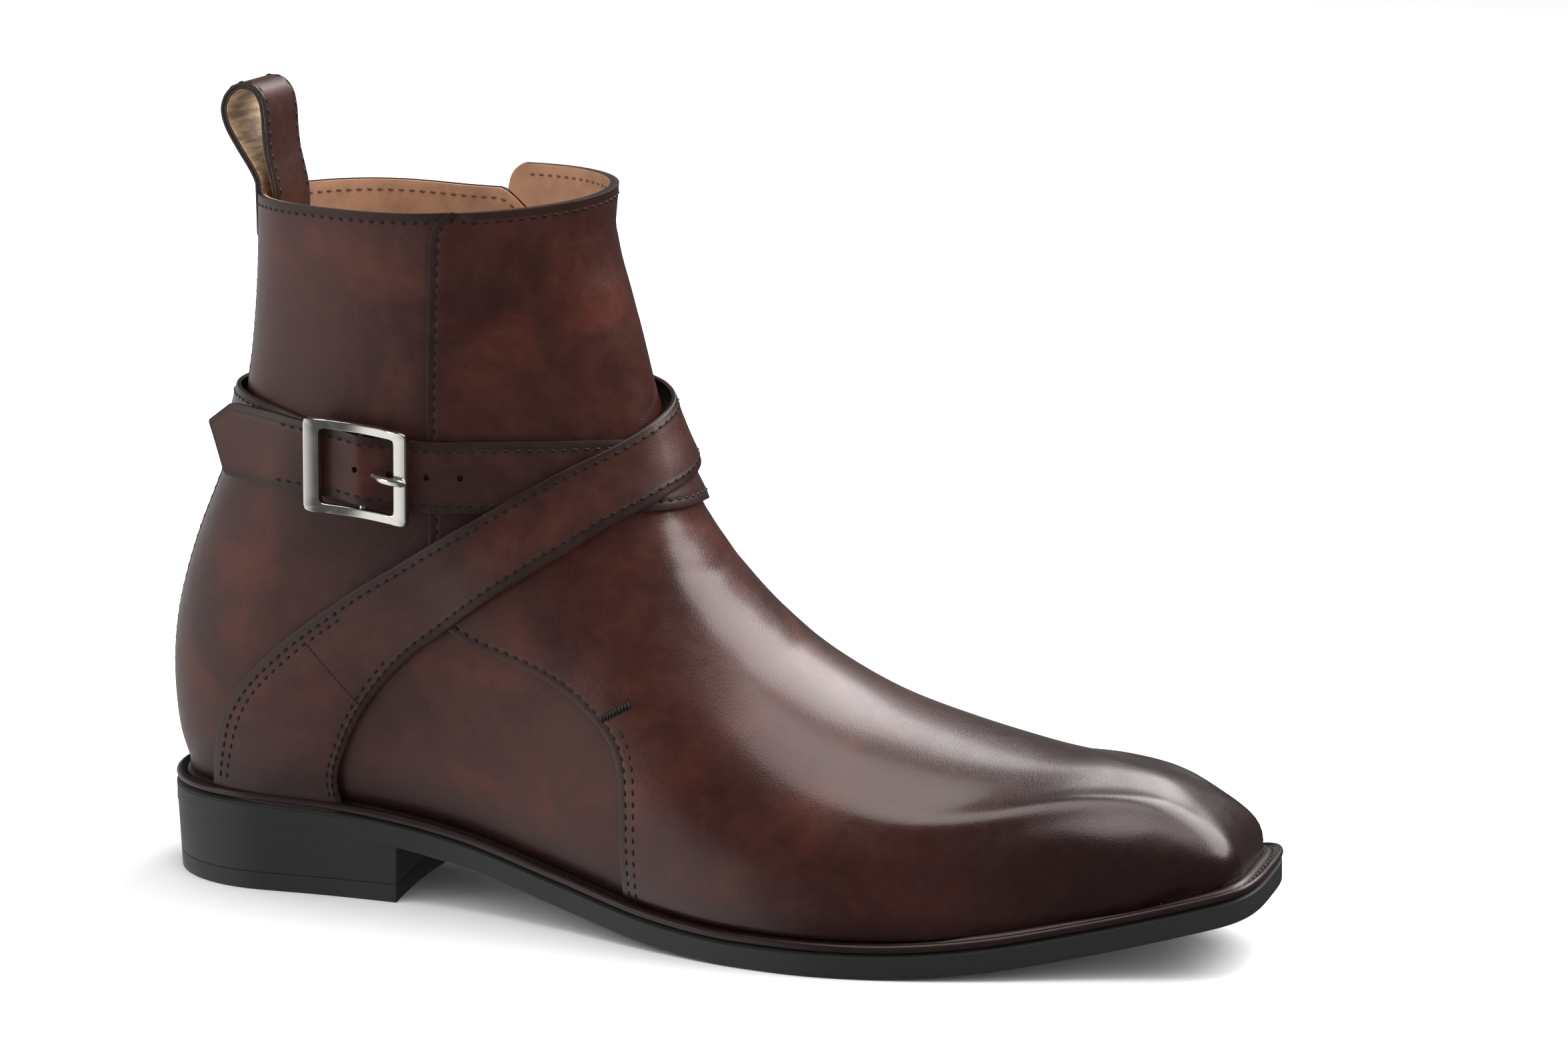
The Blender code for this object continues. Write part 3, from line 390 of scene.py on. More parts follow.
def at_run(at, run, path):
    """Points of a polyline at lengths along it."""
    return np.stack([np.interp(at, run, column) for column in path.T], 1)


def section(base, top, low, ridge_y, half, widest, fullness, heel, dome):
    """One section of the upper, from its lateral end over the top to its medial end."""
    base, top = np.array(base), np.array(top)
    q = (1 - np.cos(np.linspace(0, np.pi, 321))) / 2
    start = np.clip(low[1] / half, 0, 0.999)
    lift = widest * ((1 - start**2) ** (-1 / heel) - 1) if widest > 0 and start > 0.02 else 0.0
    upper = 1 - np.clip((q - widest) / (1 - widest), 0, 1) ** fullness
    lower = 1 - np.clip((widest - q) / (widest + lift + 1e-9), 0, 1) ** heel
    domed = half * np.sqrt(np.where(q > widest, upper, lower))
    x = base[0] + q * (top[0] - base[0])
    z = base[1] + q * (top[1] - base[1])
    flat_t = (x + TOE_SHELF * smooth(x / LENGTH, 0.90, 0.96) - FEATHER_INSET) / (LENGTH - 2 * FEATHER_INSET)
    _, flat_c, flat_h = outline(np.clip(flat_t, 0, 1), FEATHER_INSET)
    blend = 3 * q**2 - 2 * q**3
    middle = low[0] + blend * (ridge_y - low[0])
    w = domed
    if dome < 1:
        w = (1 - dome) * flat_h + dome * domed
        middle = (1 - dome) * flat_c + dome * middle
    w[-1] = 0
    sides = []
    for side in (-1, 1):
        path = np.stack([x, middle + side * w, z], 1)
        run = run_of(path)
        sides.append(at_run(np.linspace(0, run[-1], COLUMNS + 1), run, path))
    return np.concatenate([sides[0], sides[1][::-1][1:]])


def upper_grid():
    """Points of the upper's outer surface, a row for each section, toe first."""
    foot = np.array(FOOT)
    foot = rows_at(np.column_stack([np.arange(len(foot)), foot]), np.linspace(0, len(foot) - 1, FOOT_ROWS))
    both = np.array([(FOOT[-1][0], 0, 0, *FOOT[-1][1:8])] + SHAFT)
    both[0, 1] = feather(FOOT[-1][0] * LENGTH) / COLLAR_HEIGHT
    both[0, 2] = outline(0.0)[1][0] / BALL_WIDTH
    steps = np.linspace(0, len(SHAFT), SHAFT_ROWS + 1)[1:]
    shaft = rows_at(np.column_stack([np.arange(len(both)), both]), steps)
    rows = []
    for station, top_x, top_z, ridge_y, half, widest, fullness, heel, dome in foot:
        x = station * LENGTH
        _, c, h = outline(np.clip((x - FEATHER_INSET) / (LENGTH - 2 * FEATHER_INSET), 0, 1), FEATHER_INSET)
        rows.append(section(
            (x, feather(x)), (top_x * LENGTH, top_z * COLLAR_HEIGHT), (c[0], h[0]),
            ridge_y * BALL_WIDTH, half * BALL_WIDTH, widest, fullness, heel, min(dome, 1.0),
        ))
    for back_x, back_z, back_y, top_x, top_z, ridge_y, half, widest, fullness, heel in shaft:
        rows.append(section(
            (back_x * LENGTH, back_z * COLLAR_HEIGHT), (top_x * LENGTH, top_z * COLLAR_HEIGHT),
            (back_y * BALL_WIDTH, 0.0), ridge_y * BALL_WIDTH, half * BALL_WIDTH, widest, fullness, heel, 1.0,
        ))
    grid = np.array(rows)
    grid[:FOOT_ROWS, [0, -1], 2] = feather(grid[:FOOT_ROWS, [0, -1], 0])
    grid[0, :, 2] = feather(grid[0, :, 0])
    x, height = grid[..., 0], np.clip(grid[..., 2] / COLLAR_HEIGHT, 0, 1)
    side = np.clip(grid[..., 1] / SIDE_REACH, -1, 1)
    dip = MEDIAL_DIP * np.clip(side, 0, 1) + LATERAL_DIP * np.clip(-side, 0, 1)
    dip *= np.exp(-(((x - DIP_AT) / DIP_REACH) ** 2)) * height**8
    start = (DIP_START - DIP_SKEW * side) * LENGTH
    dip += FRONT_DIP * smooth((x - start) / (DIP_RUN * LENGTH), 0, 1) * height**16
    grid[..., 2] -= dip
    return grid


def normals_of(grid):
    """Outward unit normals of the upper's grid, level along the feather line and the collar."""
    along = np.gradient(grid, axis=0)
    across = np.gradient(grid, axis=1)
    ring = slice(FOOT_ROWS, None)
    across[ring, 0] = across[ring, -1] = (grid[ring, 1] - grid[ring, -2]) / 2
    normal = np.cross(across, along)
    normal[FOOT_ROWS - 1, [0, -1]] = (-1, 0, 0)
    normal[:FOOT_ROWS, [0, -1], 2] = 0
    normal[[0, -1], :, 2] = 0
    return unit(normal)


def tree_of(grid):
    """A search tree over a grid of points."""
    n, m = grid.shape[:2]
    faces = [
        (i * m + j, i * m + j + 1, (i + 1) * m + j + 1, (i + 1) * m + j)
        for i in range(n - 1) for j in range(m - 1)
    ]
    return BVHTree.FromPolygons([Vector(p) for p in grid.reshape(-1, 3)], faces)


def lattice(grid, across, along):
    """Points of a grid at shares across and along it."""
    n, m = grid.shape[:2]
    i = np.clip(np.asarray(along, float) * (n - 1), 0, n - 1 - 1e-9)
    j = np.clip(np.asarray(across, float) * (m - 1), 0, m - 1 - 1e-9)
    a, b = i.astype(int), j.astype(int)
    s, t = i - a, j - b
    if grid.ndim > 2:
        s, t = s[..., None], t[..., None]
    near = grid[a, b] * (1 - t) + grid[a, b + 1] * t
    far = grid[a + 1, b] * (1 - t) + grid[a + 1, b + 1] * t
    return near * (1 - s) + far * s


def lifted(grid, normals, across, along, by):
    """Points of a grid at shares across and along it, moved along its normals."""
    return lattice(grid, across, along) + unit(lattice(normals, across, along)) * np.asarray(by)[..., None]


def hand_work(points):
    """How far the toe's ridges, the hollows beside them and the walking creases stand off the plain last."""
    x, y, z = points[..., 0], points[..., 1], points[..., 2]
    ridge_y, ridge_z, tall = np.moveaxis(rows_at(TOE_RIDGE, x.ravel()).reshape(*x.shape, 3), -1, 0)
    rise = np.zeros(x.shape)
    for across in (y, 2 * TOE_MIDDLE - y):
        for share, off, up, reach in TOE_RELIEF:
            away = (across - ridge_y - off) ** 2 + (z - ridge_z - up) ** 2
            rise += share * tall * np.exp(-(away / reach**2))
    for at_x, at_z, slope, depth, reach in CREASES:
        along = ((z - at_z) + slope * (x - at_x)) / math.hypot(1, slope)
        near = np.exp(-(((y - 0.002) / reach) ** 4)) * (x > 0.120)
        wave = 0.0009 * np.sin(y * 260 + at_z * 900)
        rise -= depth * near * np.exp(-(((along + wave) / 0.0021) ** 2))
        rise += 0.6 * depth * near * np.exp(-(((along + wave - 0.0042) / 0.0030) ** 2))
    return rise


SKIN = upper_grid()
SKIN = SKIN + normals_of(SKIN) * hand_work(SKIN)[..., None]
SKIN_NORMAL = normals_of(SKIN)


def skirted(grid):
    """The skin with its lower edge carried down past the welt, for rays that come out low."""
    low = grid[:, [0, -1]].copy()
    low[:FOOT_ROWS, :, 2] -= 0.015
    return np.concatenate([low[:, :1], grid, low[:, 1:]], axis=1)


SKIN_TREE = tree_of(skirted(SKIN))


def on_back(y, z):
    """Where the back of the skin is at a width and a height, and its normal there."""
    point, normal = SKIN_TREE.ray_cast(Vector((AXIS[0], y, z)), Vector((-1, 0, 0)))[:2]
    return tuple(point), tuple(normal)


def panel_grid():
    """The skin carried on above the quarters' rim, up to the front panel's top."""
    top = SKIN[-1:] + SKIN_NORMAL[-1:] * PANEL_LEAN
    back_x, back_z = SHAFT[-1][:2]
    line = back_z * COLLAR_HEIGHT + (top[0, :, 0] - back_x * LENGTH) * COLLAR_SLOPE + PANEL_RISE
    top[0, :, 2] = np.maximum(line + PANEL_TILT * top[0, :, 1], SKIN[-1, :, 2] + 0.0003)
    more = [SKIN[-1:] + (top - SKIN[-1:]) * share for share in np.linspace(0, 1, PANEL_ROWS + 1)[1:]]
    return np.concatenate([SKIN, *more]), np.concatenate([SKIN_NORMAL] + [SKIN_NORMAL[-1:]] * PANEL_ROWS)


PANEL, PANEL_NORMAL = panel_grid()
RIM_SHARE = (len(SKIN) - 1) / (len(PANEL) - 1)
PANEL_TREE = tree_of(skirted(PANEL))


def seam_x(y, z):
    """Where the vamp's edge crosses a height: toward the inner side it leans back and up."""
    share = (np.asarray(z, float) - PANEL_TILT * (y - SEAM_Y)) / COLLAR_HEIGHT
    return rows_at(SEAM, share.ravel())[:, 0].reshape(share.shape) * LENGTH - SEAM_SKEW * (y - SEAM_Y)


def seam_shares(rows):
    """For shares along the panel grid, the shares across it where the vamp's edge crosses on each side."""
    fine = lattice(PANEL, *np.meshgrid(np.linspace(0, 1, FINE + 1), rows))
    ahead = fine[..., 0] - seam_x(fine[..., 1], fine[..., 2])
    half = FINE // 2
    found = []
    for side in (ahead[:, : half + 1], ahead[:, : half - 1 : -1]):
        behind = side <= 0
        k = np.where(behind[:, 0], np.argmax(~behind, axis=1), 0)
        line = np.arange(len(rows))
        a, b = side[line, np.maximum(k - 1, 0)], side[line, k]
        share = np.where(k > 0, k - 1 + a / np.where(a == b, 1, a - b), 0.0)
        found.append(np.clip(share, 0, half) / FINE)
    return found[0], 1 - found[1]


def even_rows(count):
    """Shares along the panel grid, closer together where the vamp's edge runs fast."""
    rows = np.linspace(0, 1, 4001)
    low, high = seam_shares(rows)
    lines = [lattice(PANEL, share, rows) for share in (low, high, np.full(len(rows), 0.5))]
    step = np.max([np.linalg.norm(np.diff(line, axis=0), axis=1) for line in lines], axis=0)
    run = np.concatenate([[0], np.cumsum(np.minimum(step, 0.02))])
    return np.interp(np.linspace(0, run[-1], count), run, rows)


# Meshes


def picked(grown, kind=bmesh.types.BMVert):
    """The vertices that an operation made, or its edges or faces."""
    return [g for g in grown["geom"] if isinstance(g, kind)]


def thickened(bm):
    """Gives a sheet a second layer and a wall between the two, and returns the new layer's vertices."""
    return picked(bmesh.ops.extrude_face_region(bm, geom=bm.faces[:], use_keep_orig=True))


def sharp_edges(bm, degrees):
    return [e for e in bm.edges if len(e.link_faces) == 2 and e.calc_face_angle() > math.radians(degrees)]


def rounded(bm, edges, offset, segments=3):
    """Rounds edges off, in the material of the faces beside them."""
    bmesh.ops.bevel(
        bm, geom=edges, offset=offset, segments=segments, profile=0.5, affect="EDGES",
        offset_type="OFFSET", clamp_overlap=True, material=-1,
    )


def finish_piece(bm, name, slots, replaced=(), slot=""):
    """Makes a mesh object at the origin that rides on the frame."""
    mesh = bpy.data.meshes.new(name)
    for face in bm.faces:
        face.smooth = True
    bm.to_mesh(mesh)
    bm.free()
    obj = bpy.data.objects.new(name, mesh)
    bpy.context.scene.collection.objects.link(obj)
    for material in slots:
        mesh.materials.append(material)
    mesh.set_sharp_from_angle(angle=SMOOTH_ANGLE)
    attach(obj, "root")
    if replaced:
        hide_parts(*replaced)


def pierce(bm, centre, normal):
    """A round hole pressed into the outer face of a piece."""
    centre, normal = Vector(centre), Vector(normal).normalized()

    def near(face, reach):
        away = face.calc_center_median() - centre
        return away.length < reach and abs(away.dot(normal)) < 0.0005 and face.normal.dot(normal) > 0.7

    edges = {e for f in bm.faces if near(f, HOLE_RADIUS * 2.4) for e in f.edges}
    bmesh.ops.subdivide_edges(bm, edges=list(edges), cuts=3, use_grid_fill=True)
    bmesh.ops.delete(bm, geom=[f for f in bm.faces if near(f, HOLE_RADIUS)], context="FACES")
    rim = [e for e in bm.edges if e.is_boundary and (e.verts[0].co - centre).length < HOLE_RADIUS * 2]
    for v in {v for e in rim for v in e.verts}:
        away = v.co - centre
        rise = away.dot(normal)
        v.co = centre + (away - normal * rise).normalized() * HOLE_RADIUS + normal * (rise - 0.00006)
    for step, shrink in ((0.0003, 0.96), (HOLE_DEPTH, 0.90)):
        grown = bmesh.ops.extrude_edge_only(bm, edges=rim)
        rim = picked(grown, bmesh.types.BMEdge)
        for v in picked(grown):
            away = v.co - centre
            flat = away - normal * away.dot(normal)
            v.co += flat * (shrink - 1) - normal * step
        for f in picked(grown, bmesh.types.BMFace):
            f.material_index = 1
    bmesh.ops.holes_fill(bm, edges=rim, sides=0)


def sheet(name, across, along, place, slots, edge=0.0003, shade=None, weld=False, holes=(), **kept):
    """A piece of leather: a grid, thickened, each point put in its place by place(u, v, layer).

    Its cut edges are rounded and take the second material, and its inner face the third, where there is one.
    shade(u, v) fills the point attribute "edge", the distance to a cut edge, and "welt" is the height off the welt;
    the calf's colour is darkened near both as painted shade.
    """
    bm = bmesh.new()
    layer_of, welt_of = bm.verts.layers.float.new("edge"), bm.verts.layers.float.new("welt")
    bmesh.ops.create_grid(bm, x_segments=across, y_segments=along, size=0.5)
    low = list(bm.verts)
    high = thickened(bm)
    sides = set(low)
    wall = [f for f in bm.faces if 0 < sum(v in sides for v in f.verts) < len(f.verts)]
    for layer, verts in enumerate((low, high)):
        shares = np.array([v.co[:2] for v in verts]) + 0.5
        u, v = shares[:, 0], shares[:, 1]
        shades = np.zeros(len(u)) if shade is None else shade(u, v)
        points = place(u, v, layer)
        heights = points[:, 2] - feather(points[:, 0] + ORIGIN_X)
        for vert, point, value, height in zip(verts, points, shades, heights):
            vert.co = point
            vert[layer_of] = value
            vert[welt_of] = height
    for face in wall:
        face.material_index = 1
    if len(slots) > 2:
        for face in bm.faces:
            if not any(v in sides for v in face.verts):
                face.material_index = 2
    rims = [e for f in wall for e in f.edges if len({v in sides for v in e.verts}) == 1]
    if weld:
        doubled = [f for f in wall if f.calc_area() < 1e-14 or weld(f)]
        rims = [e for e in rims if not any(f in doubled for f in e.link_faces)]
        bmesh.ops.delete(bm, geom=doubled, context="FACES_ONLY")
        bmesh.ops.remove_doubles(bm, verts=bm.verts, dist=WELD)
        rims = [e for e in rims if e.is_valid]
    bmesh.ops.recalc_face_normals(bm, faces=bm.faces)
    rounded(bm, list(set(rims)), edge)
    for centre, normal in holes:
        pierce(bm, centre, normal)
    finish_piece(bm, name, slots, **kept)


def tube(bm, path, radii, sides, up=(0, 0, 1)):
    """Extrudes a ring along a path, with its radius at each point, and closes its ends."""
    path = np.asarray(path, float)
    runs = unit(np.gradient(path, axis=0))
    first = ring = bmesh.ops.create_circle(bm, segments=sides, radius=1.0)["verts"]
    edges = list({e for v in ring for e in v.link_edges})
    turns = [math.atan2(v.co.y, v.co.x) for v in ring]

    def shape(verts, k):
        a = unit(np.cross(runs[k], up))
        b = np.cross(a, runs[k])
        for v, turn in zip(verts, turns):
            v.co = Vector(path[k] + radii[k] * (a * math.cos(turn) + b * math.sin(turn)))

    shape(ring, 0)
    for k in range(1, len(path)):
        before = {v: i for i, v in enumerate(ring)}
        grown = bmesh.ops.extrude_edge_only(bm, edges=edges)
        edges = picked(grown, bmesh.types.BMEdge)
        ring = [None] * sides
        for v in picked(grown):
            for e in v.link_edges:
                if e.other_vert(v) in before:
                    ring[before[e.other_vert(v)]] = v
        shape(ring, k)
    for end in (first, ring):
        bmesh.ops.contextual_create(bm, geom=end)


def resampled(path, spacing):
    """Points of a polyline at even spacing, and the direction there."""
    run = run_of(path)
    count = max(2, int(run[-1] / spacing))
    at = (np.arange(count) + 0.5) * run[-1] / count
    reach = spacing * 0.3
    return at_run(at, run, path), unit(at_run(at + reach, run, path) - at_run(at - reach, run, path))


def bead():
    """One stitch of unit length and width, its ends tucked down."""
    bm = bmesh.new()
    lying = Matrix.Rotation(math.pi / 2, 4, "Y")
    bmesh.ops.create_uvsphere(bm, u_segments=7, v_segments=6, radius=0.5, matrix=lying)
    for v in bm.verts:
        v.co.z = v.co.z * 0.9 - 0.55 * (2 * v.co.x) ** 4
        v.co.y *= 1 - 0.35 * (2 * v.co.x) ** 4
    mesh = bpy.data.meshes.new("one stitch")
    bm.to_mesh(mesh)
    bm.free()
    return mesh


def stitch(bm, points, runs, normals, length, width):
    """One thread bead for each point, lying along its run, dipped at both ends."""
    mesh = bead()
    shape = np.array([v.co[:] for v in mesh.vertices]) * (length, width, width)
    side = unit(np.cross(normals, runs))
    up = np.cross(runs, side)
    for p, d, a, n in zip(points, runs, side, up):
        mesh.vertices.foreach_set("co", (p - n * width * 0.05 + shape @ np.stack([d, a, n])).ravel())
        bm.from_mesh(mesh)
    bpy.data.meshes.remove(mesh)


def on_tree(tree, points):
    """The nearest points of a surface, with its normals."""
    found = [tree.find_nearest(Vector(p)) for p in points]
    return np.array([tuple(f[0]) for f in found]), np.array([tuple(f[1]) for f in found])


# Materials


def feed(tree, node, inputs):
    """Sets a node's inputs, each to a value or from a socket."""
    for key, value in inputs.items():
        if isinstance(value, bpy.types.NodeSocket):
            tree.links.new(value, node.inputs[key])
        else:
            node.inputs[key].default_value = value


def put(tree, kind, inputs=None, **settings):
    """A shader node with its settings and inputs."""
    node = tree.nodes.new(kind)
    for key, value in settings.items():
        setattr(node, key, value)
    feed(tree, node, inputs or {})
    return node


def math_node(tree, operation, a, b=0.0, clamp=False):
    return put(tree, "ShaderNodeMath", {0: a, 1: b}, operation=operation, use_clamp=clamp).outputs[0]


def times(tree, a, b, clamp=False):
    return math_node(tree, "MULTIPLY", a, b, clamp)


def plus(tree, a, b):
    return math_node(tree, "ADD", a, b)


def larger(tree, a, b, clamp=False):
    return math_node(tree, "MAXIMUM", a, b, clamp)


def coords(tree):
    return put(tree, "ShaderNodeTexCoord").outputs["Object"]


def attribute(tree, name):
    return put(tree, "ShaderNodeAttribute", attribute_name=name).outputs["Fac"]


def bumped(tree, height, distance):
    return put(tree, "ShaderNodeBump", {"Height": height, "Distance": distance, "Strength": 1.0}).outputs[0]


def grained(tree, grain, scale):
    return put(tree, "ShaderNodeGroup", {"Scale": scale}, node_tree=grain).outputs["Height"]


def ranged(tree, value, low, high, to_low=0.0, to_high=1.0):
    return put(tree, "ShaderNodeMapRange", {
        "Value": value, "From Min": low, "From Max": high, "To Min": to_low, "To Max": to_high,
    }, interpolation_type="SMOOTHSTEP").outputs["Result"]


def mixed(tree, factor, a, b, blend="MIX"):
    return put(tree, "ShaderNodeMix", {0: factor, 6: a, 7: b}, data_type="RGBA", blend_type=blend).outputs[2]


def noise(tree, where, scale, detail=3.0, rough=0.5, distortion=0.0):
    return put(tree, "ShaderNodeTexNoise", {
        "Vector": where, "Scale": scale, "Detail": detail, "Roughness": rough, "Distortion": distortion,
    }).outputs["Fac"]


def group(name, inputs, outputs, fill):
    """A shader node group with named sockets."""
    tree = bpy.data.node_groups.new(name, "ShaderNodeTree")
    for label, kind, default in inputs:
        socket = tree.interface.new_socket(label, in_out="INPUT", socket_type=kind)
        if default is not None:
            socket.default_value = default
    for label, kind in outputs:
        tree.interface.new_socket(label, in_out="OUTPUT", socket_type=kind)
    entry, leave = tree.nodes.new("NodeGroupInput"), tree.nodes.new("NodeGroupOutput")
    for label, value in fill(tree, entry.outputs).items():
        tree.links.new(value, leave.inputs[label])
    return tree


def grain_group():
    """Fine calf grain: small round pebbles with soft valleys, over a slow unevenness."""

    def fill(tree, given):
        where = coords(tree)
        cells = put(tree, "ShaderNodeTexVoronoi", {
            "Vector": where, "Scale": given["Scale"], "Smoothness": 0.55,
        }, feature="SMOOTH_F1").outputs["Distance"]
        pebble = ranged(tree, cells, 0.05, 0.62, 1.0, 0.0)
        fine = noise(tree, where, 3800.0, 2.0, 0.5)
        broad = noise(tree, where, 230.0, 3.0, 0.5)
        height = plus(tree, times(tree, pebble, 0.6), times(tree, fine, 0.2))
        return {"Height": plus(tree, height, times(tree, broad, 1.1))}

    return group("Calf grain", [("Scale", "NodeSocketFloat", 2300.0)], [("Height", "NodeSocketFloat")], fill)


def burnish_and_shade_group():
    """Hand-finished colour: soft clouds, red patches, a darker toe and dyed edges, and painted shade that darkens the
    leather along its cut edges and seams and near the welt line.
    """

    def fill(tree, given):
        where = coords(tree)
        x = put(tree, "ShaderNodeSeparateXYZ", {0: where}).outputs[0]
        clouds = noise(tree, where, 24.0, 4.0, 0.55, 0.6)
        patches = noise(tree, where, 36.0, 4.0, 0.55, 0.4)
        streak = noise(tree, where, 210.0, 4.0, 0.65)
        edge, height = attribute(tree, "edge"), attribute(tree, "welt")
        dark = larger(
            tree, times(tree, ranged(tree, clouds, 0.40, 0.68), 0.55),
            times(tree, ranged(tree, x, 0.010, 0.125), given["Toe"]),
        )
        # Painted shade: the colour darkens within 10 mm of a piece's cut edge, as if shaded where the pieces step
        # over each other; the dyed band is the Dye mix below
        dark = larger(tree, dark, times(tree, ranged(tree, edge, 0.0, 0.010, 1.0, 0.0), given["Edge"]))
        # Painted shade: the colour darkens over the lowest 20 mm above the welt line, where the upper meets the sole
        dark = larger(tree, dark, times(tree, ranged(tree, height, 0.0, 0.020, 1.0, 0.0), 0.85), clamp=True)
        warm = times(tree, ranged(tree, patches, 0.48, 0.68), 0.70)
        color = mixed(tree, dark, mixed(tree, warm, given["Brown"], given["Red"]), given["Dark"])
        ends = [times(tree, given["Band"], share) for share in (0.80, 1.15)]
        band = ranged(tree, edge, *ends, 0.55, 0.0)
        color = mixed(tree, band, color, given["Dye"])
        speck = ranged(tree, streak, 0.35, 0.70, 0.88, 1.10)
        grey = put(tree, "ShaderNodeCombineColor", {0: speck, 1: speck, 2: speck}).outputs[0]
        rough = plus(tree, ranged(tree, clouds, 0.3, 0.7, 0.03, -0.02), ranged(tree, streak, 0.3, 0.7, 0.0, 0.05))
        rough = plus(tree, plus(tree, rough, times(tree, band, 0.06)), given["Roughness"])
        off = math_node(tree, "DIVIDE", math_node(tree, "SUBTRACT", edge, given["Band"]), 0.00055)
        groove = math_node(tree, "EXPONENT", times(tree, times(tree, off, off), -1.0))
        return {"Color": mixed(tree, 1.0, color, grey, "MULTIPLY"), "Roughness": rough, "Groove": groove}

    colours = [(label, "NodeSocketColor", None) for label in ("Brown", "Dark", "Red", "Dye")]
    # Edge weighs the painted shade along the cut edges
    values = [("Toe", 0.9), ("Edge", 0.5), ("Band", 0.0024), ("Roughness", 0.3)]
    return group(
        "Burnish and painted shade", colours + [(label, "NodeSocketFloat", default) for label, default in values],
        [("Color", "NodeSocketColor"), ("Roughness", "NodeSocketFloat"), ("Groove", "NodeSocketFloat")], fill,
    )


def principled(name):
    material = bpy.data.materials.get(name) or bpy.data.materials.new(name)
    material.use_nodes = True
    tree = material.node_tree
    tree.nodes.clear()
    shader = tree.nodes.new("ShaderNodeBsdfPrincipled")
    out = tree.nodes.new("ShaderNodeOutputMaterial")
    tree.links.new(shader.outputs[0], out.inputs[0])
    return material, tree, shader


def rgba(color):
    return (*color, 1.0)


def toned(color, low, high):
    """A darker and a lighter tone of a colour."""
    return [rgba([min(1.0, c * factor) for c in color]) for factor in (low, high)]


def calf(name, colours, grain, burnish_and_shade, look):
    """Polished calf, with the grain's depth and the stitch groove in tenths of a millimetre."""
    roughness, depth, scale, edge, band, toe, groove, coat = look
    material, tree, shader = principled(name)
    # edge weighs the painted shade along the cut edges
    tone = put(tree, "ShaderNodeGroup", {
        "Brown": rgba(colours.brown), "Dark": rgba(colours.dark), "Red": rgba(colours.red),
        "Dye": rgba([c * 0.45 for c in colours.edge]), "Edge": edge, "Band": band, "Toe": toe, "Roughness": roughness,
    }, node_tree=burnish_and_shade).outputs
    height = times(tree, grained(tree, grain, scale), depth)
    height = math_node(tree, "SUBTRACT", height, times(tree, tone["Groove"], groove))
    feed(tree, shader, {
        "Base Color": tone["Color"], "Roughness": tone["Roughness"], "Normal": bumped(tree, height, 0.0001),
        "Coat Weight": coat, "Coat Roughness": 0.18, "Specular Tint": (1.0, 0.84, 0.81, 1.0),
    })
    return material


def cut_leather(name, color, grain):
    """A dyed cut edge, with lighter fibres where the dye has worn."""
    material, tree, shader = principled(name)
    where = coords(tree)
    fibre = ranged(tree, noise(tree, where, 1500.0, 4.0, 0.7), 0.56, 0.72)
    worn = times(tree, fibre, ranged(tree, noise(tree, where, 120.0, 3.0, 0.6), 0.42, 0.66), clamp=True)
    feed(tree, shader, {
        "Base Color": mixed(tree, worn, rgba(color), (0.20, 0.062, 0.030, 1.0)),
        "Normal": bumped(tree, grained(tree, grain, 1500.0), 0.00006), "Roughness": 0.40,
    })
    return material


def creased_lining(name, color):
    """Pale lining leather, wrinkled across the pull loop where it bends, with painted shade in the wrinkles' hollows
    and painted highlight on their crests.
    """
    material, tree, shader = principled(name)
    where = coords(tree)
    across = put(tree, "ShaderNodeMapping", {"Vector": where, "Scale": (1.0, 0.12, 1.0)}).outputs[0]
    fold = noise(tree, across, 620.0, 3.0, 0.55, 0.3)
    stain = ranged(tree, noise(tree, where, 240.0, 4.0, 0.6), 0.55, 0.75, 0.0, 0.5)
    # Painted shade and highlight: the colour follows the wrinkles' bump, darker in the hollows and lighter on the
    # crests
    shade = mixed(tree, ranged(tree, fold, 0.34, 0.62), *toned(color, 0.62, 1.25))
    feed(tree, shader, {
        "Base Color": mixed(tree, stain, shade, (0.20, 0.075, 0.050, 1.0)),
        "Normal": bumped(tree, fold, 0.00030), "Roughness": 0.66,
    })
    return material


def plain_leather(name, color, grain):
    """Smooth lining leather."""
    material, tree, shader = principled(name)
    tone = ranged(tree, noise(tree, coords(tree), 70.0, 4.0, 0.6), 0.35, 0.65)
    feed(tree, shader, {
        "Base Color": mixed(tree, tone, *toned(color, 1 - 0.16, 1 + 0.16)),
        "Normal": bumped(tree, grained(tree, grain, 1500.0), 0.00003), "Roughness": 0.62,
    })
    return material


def flat_material(name, color, roughness, scale, metallic=0.0, depth=0.00002, spread=0.15):
    """Thread, rubber or metal, with a fine unevenness."""
    material, tree, shader = principled(name)
    tone = noise(tree, coords(tree), scale, 3.0, 0.6)
    feed(tree, shader, {
        "Base Color": mixed(tree, tone, *toned(color, 1 - spread, 1 + spread)),
        "Normal": bumped(tree, tone, depth), "Metallic": metallic,
        "Roughness": ranged(tree, tone, 0.3, 0.7, roughness - 0.03, roughness + 0.03),
    })
    return material


CALF = {
    # name, then roughness, depth, scale, edge (strength of the painted shade along cut edges), band, toe, groove,
    # coat
    "quarter": ("Burnished calf", (0.43, 0.34, 1700.0, 0.30, 0.0022, 0.0, 0.8, 0.05)),
    "vamp": ("Polished calf", (0.29, 0.30, 1800.0, 0.25, 0.0021, 0.95, 0.8, 0.25)),
    "strap": ("Strap calf", (0.38, 0.28, 1800.0, 0.35, 0.0023, 0.6, 0.9, 0.12)),
    "narrow": ("Trim calf", (0.40, 0.14, 2200.0, 0.30, 0.0012, 0.0, 0.6, 0.08)),
    "welt": ("Welt leather", (0.36, 0.12, 2000.0, 0.0, -1.0, 0.8, 0.0, 0.12)),
}


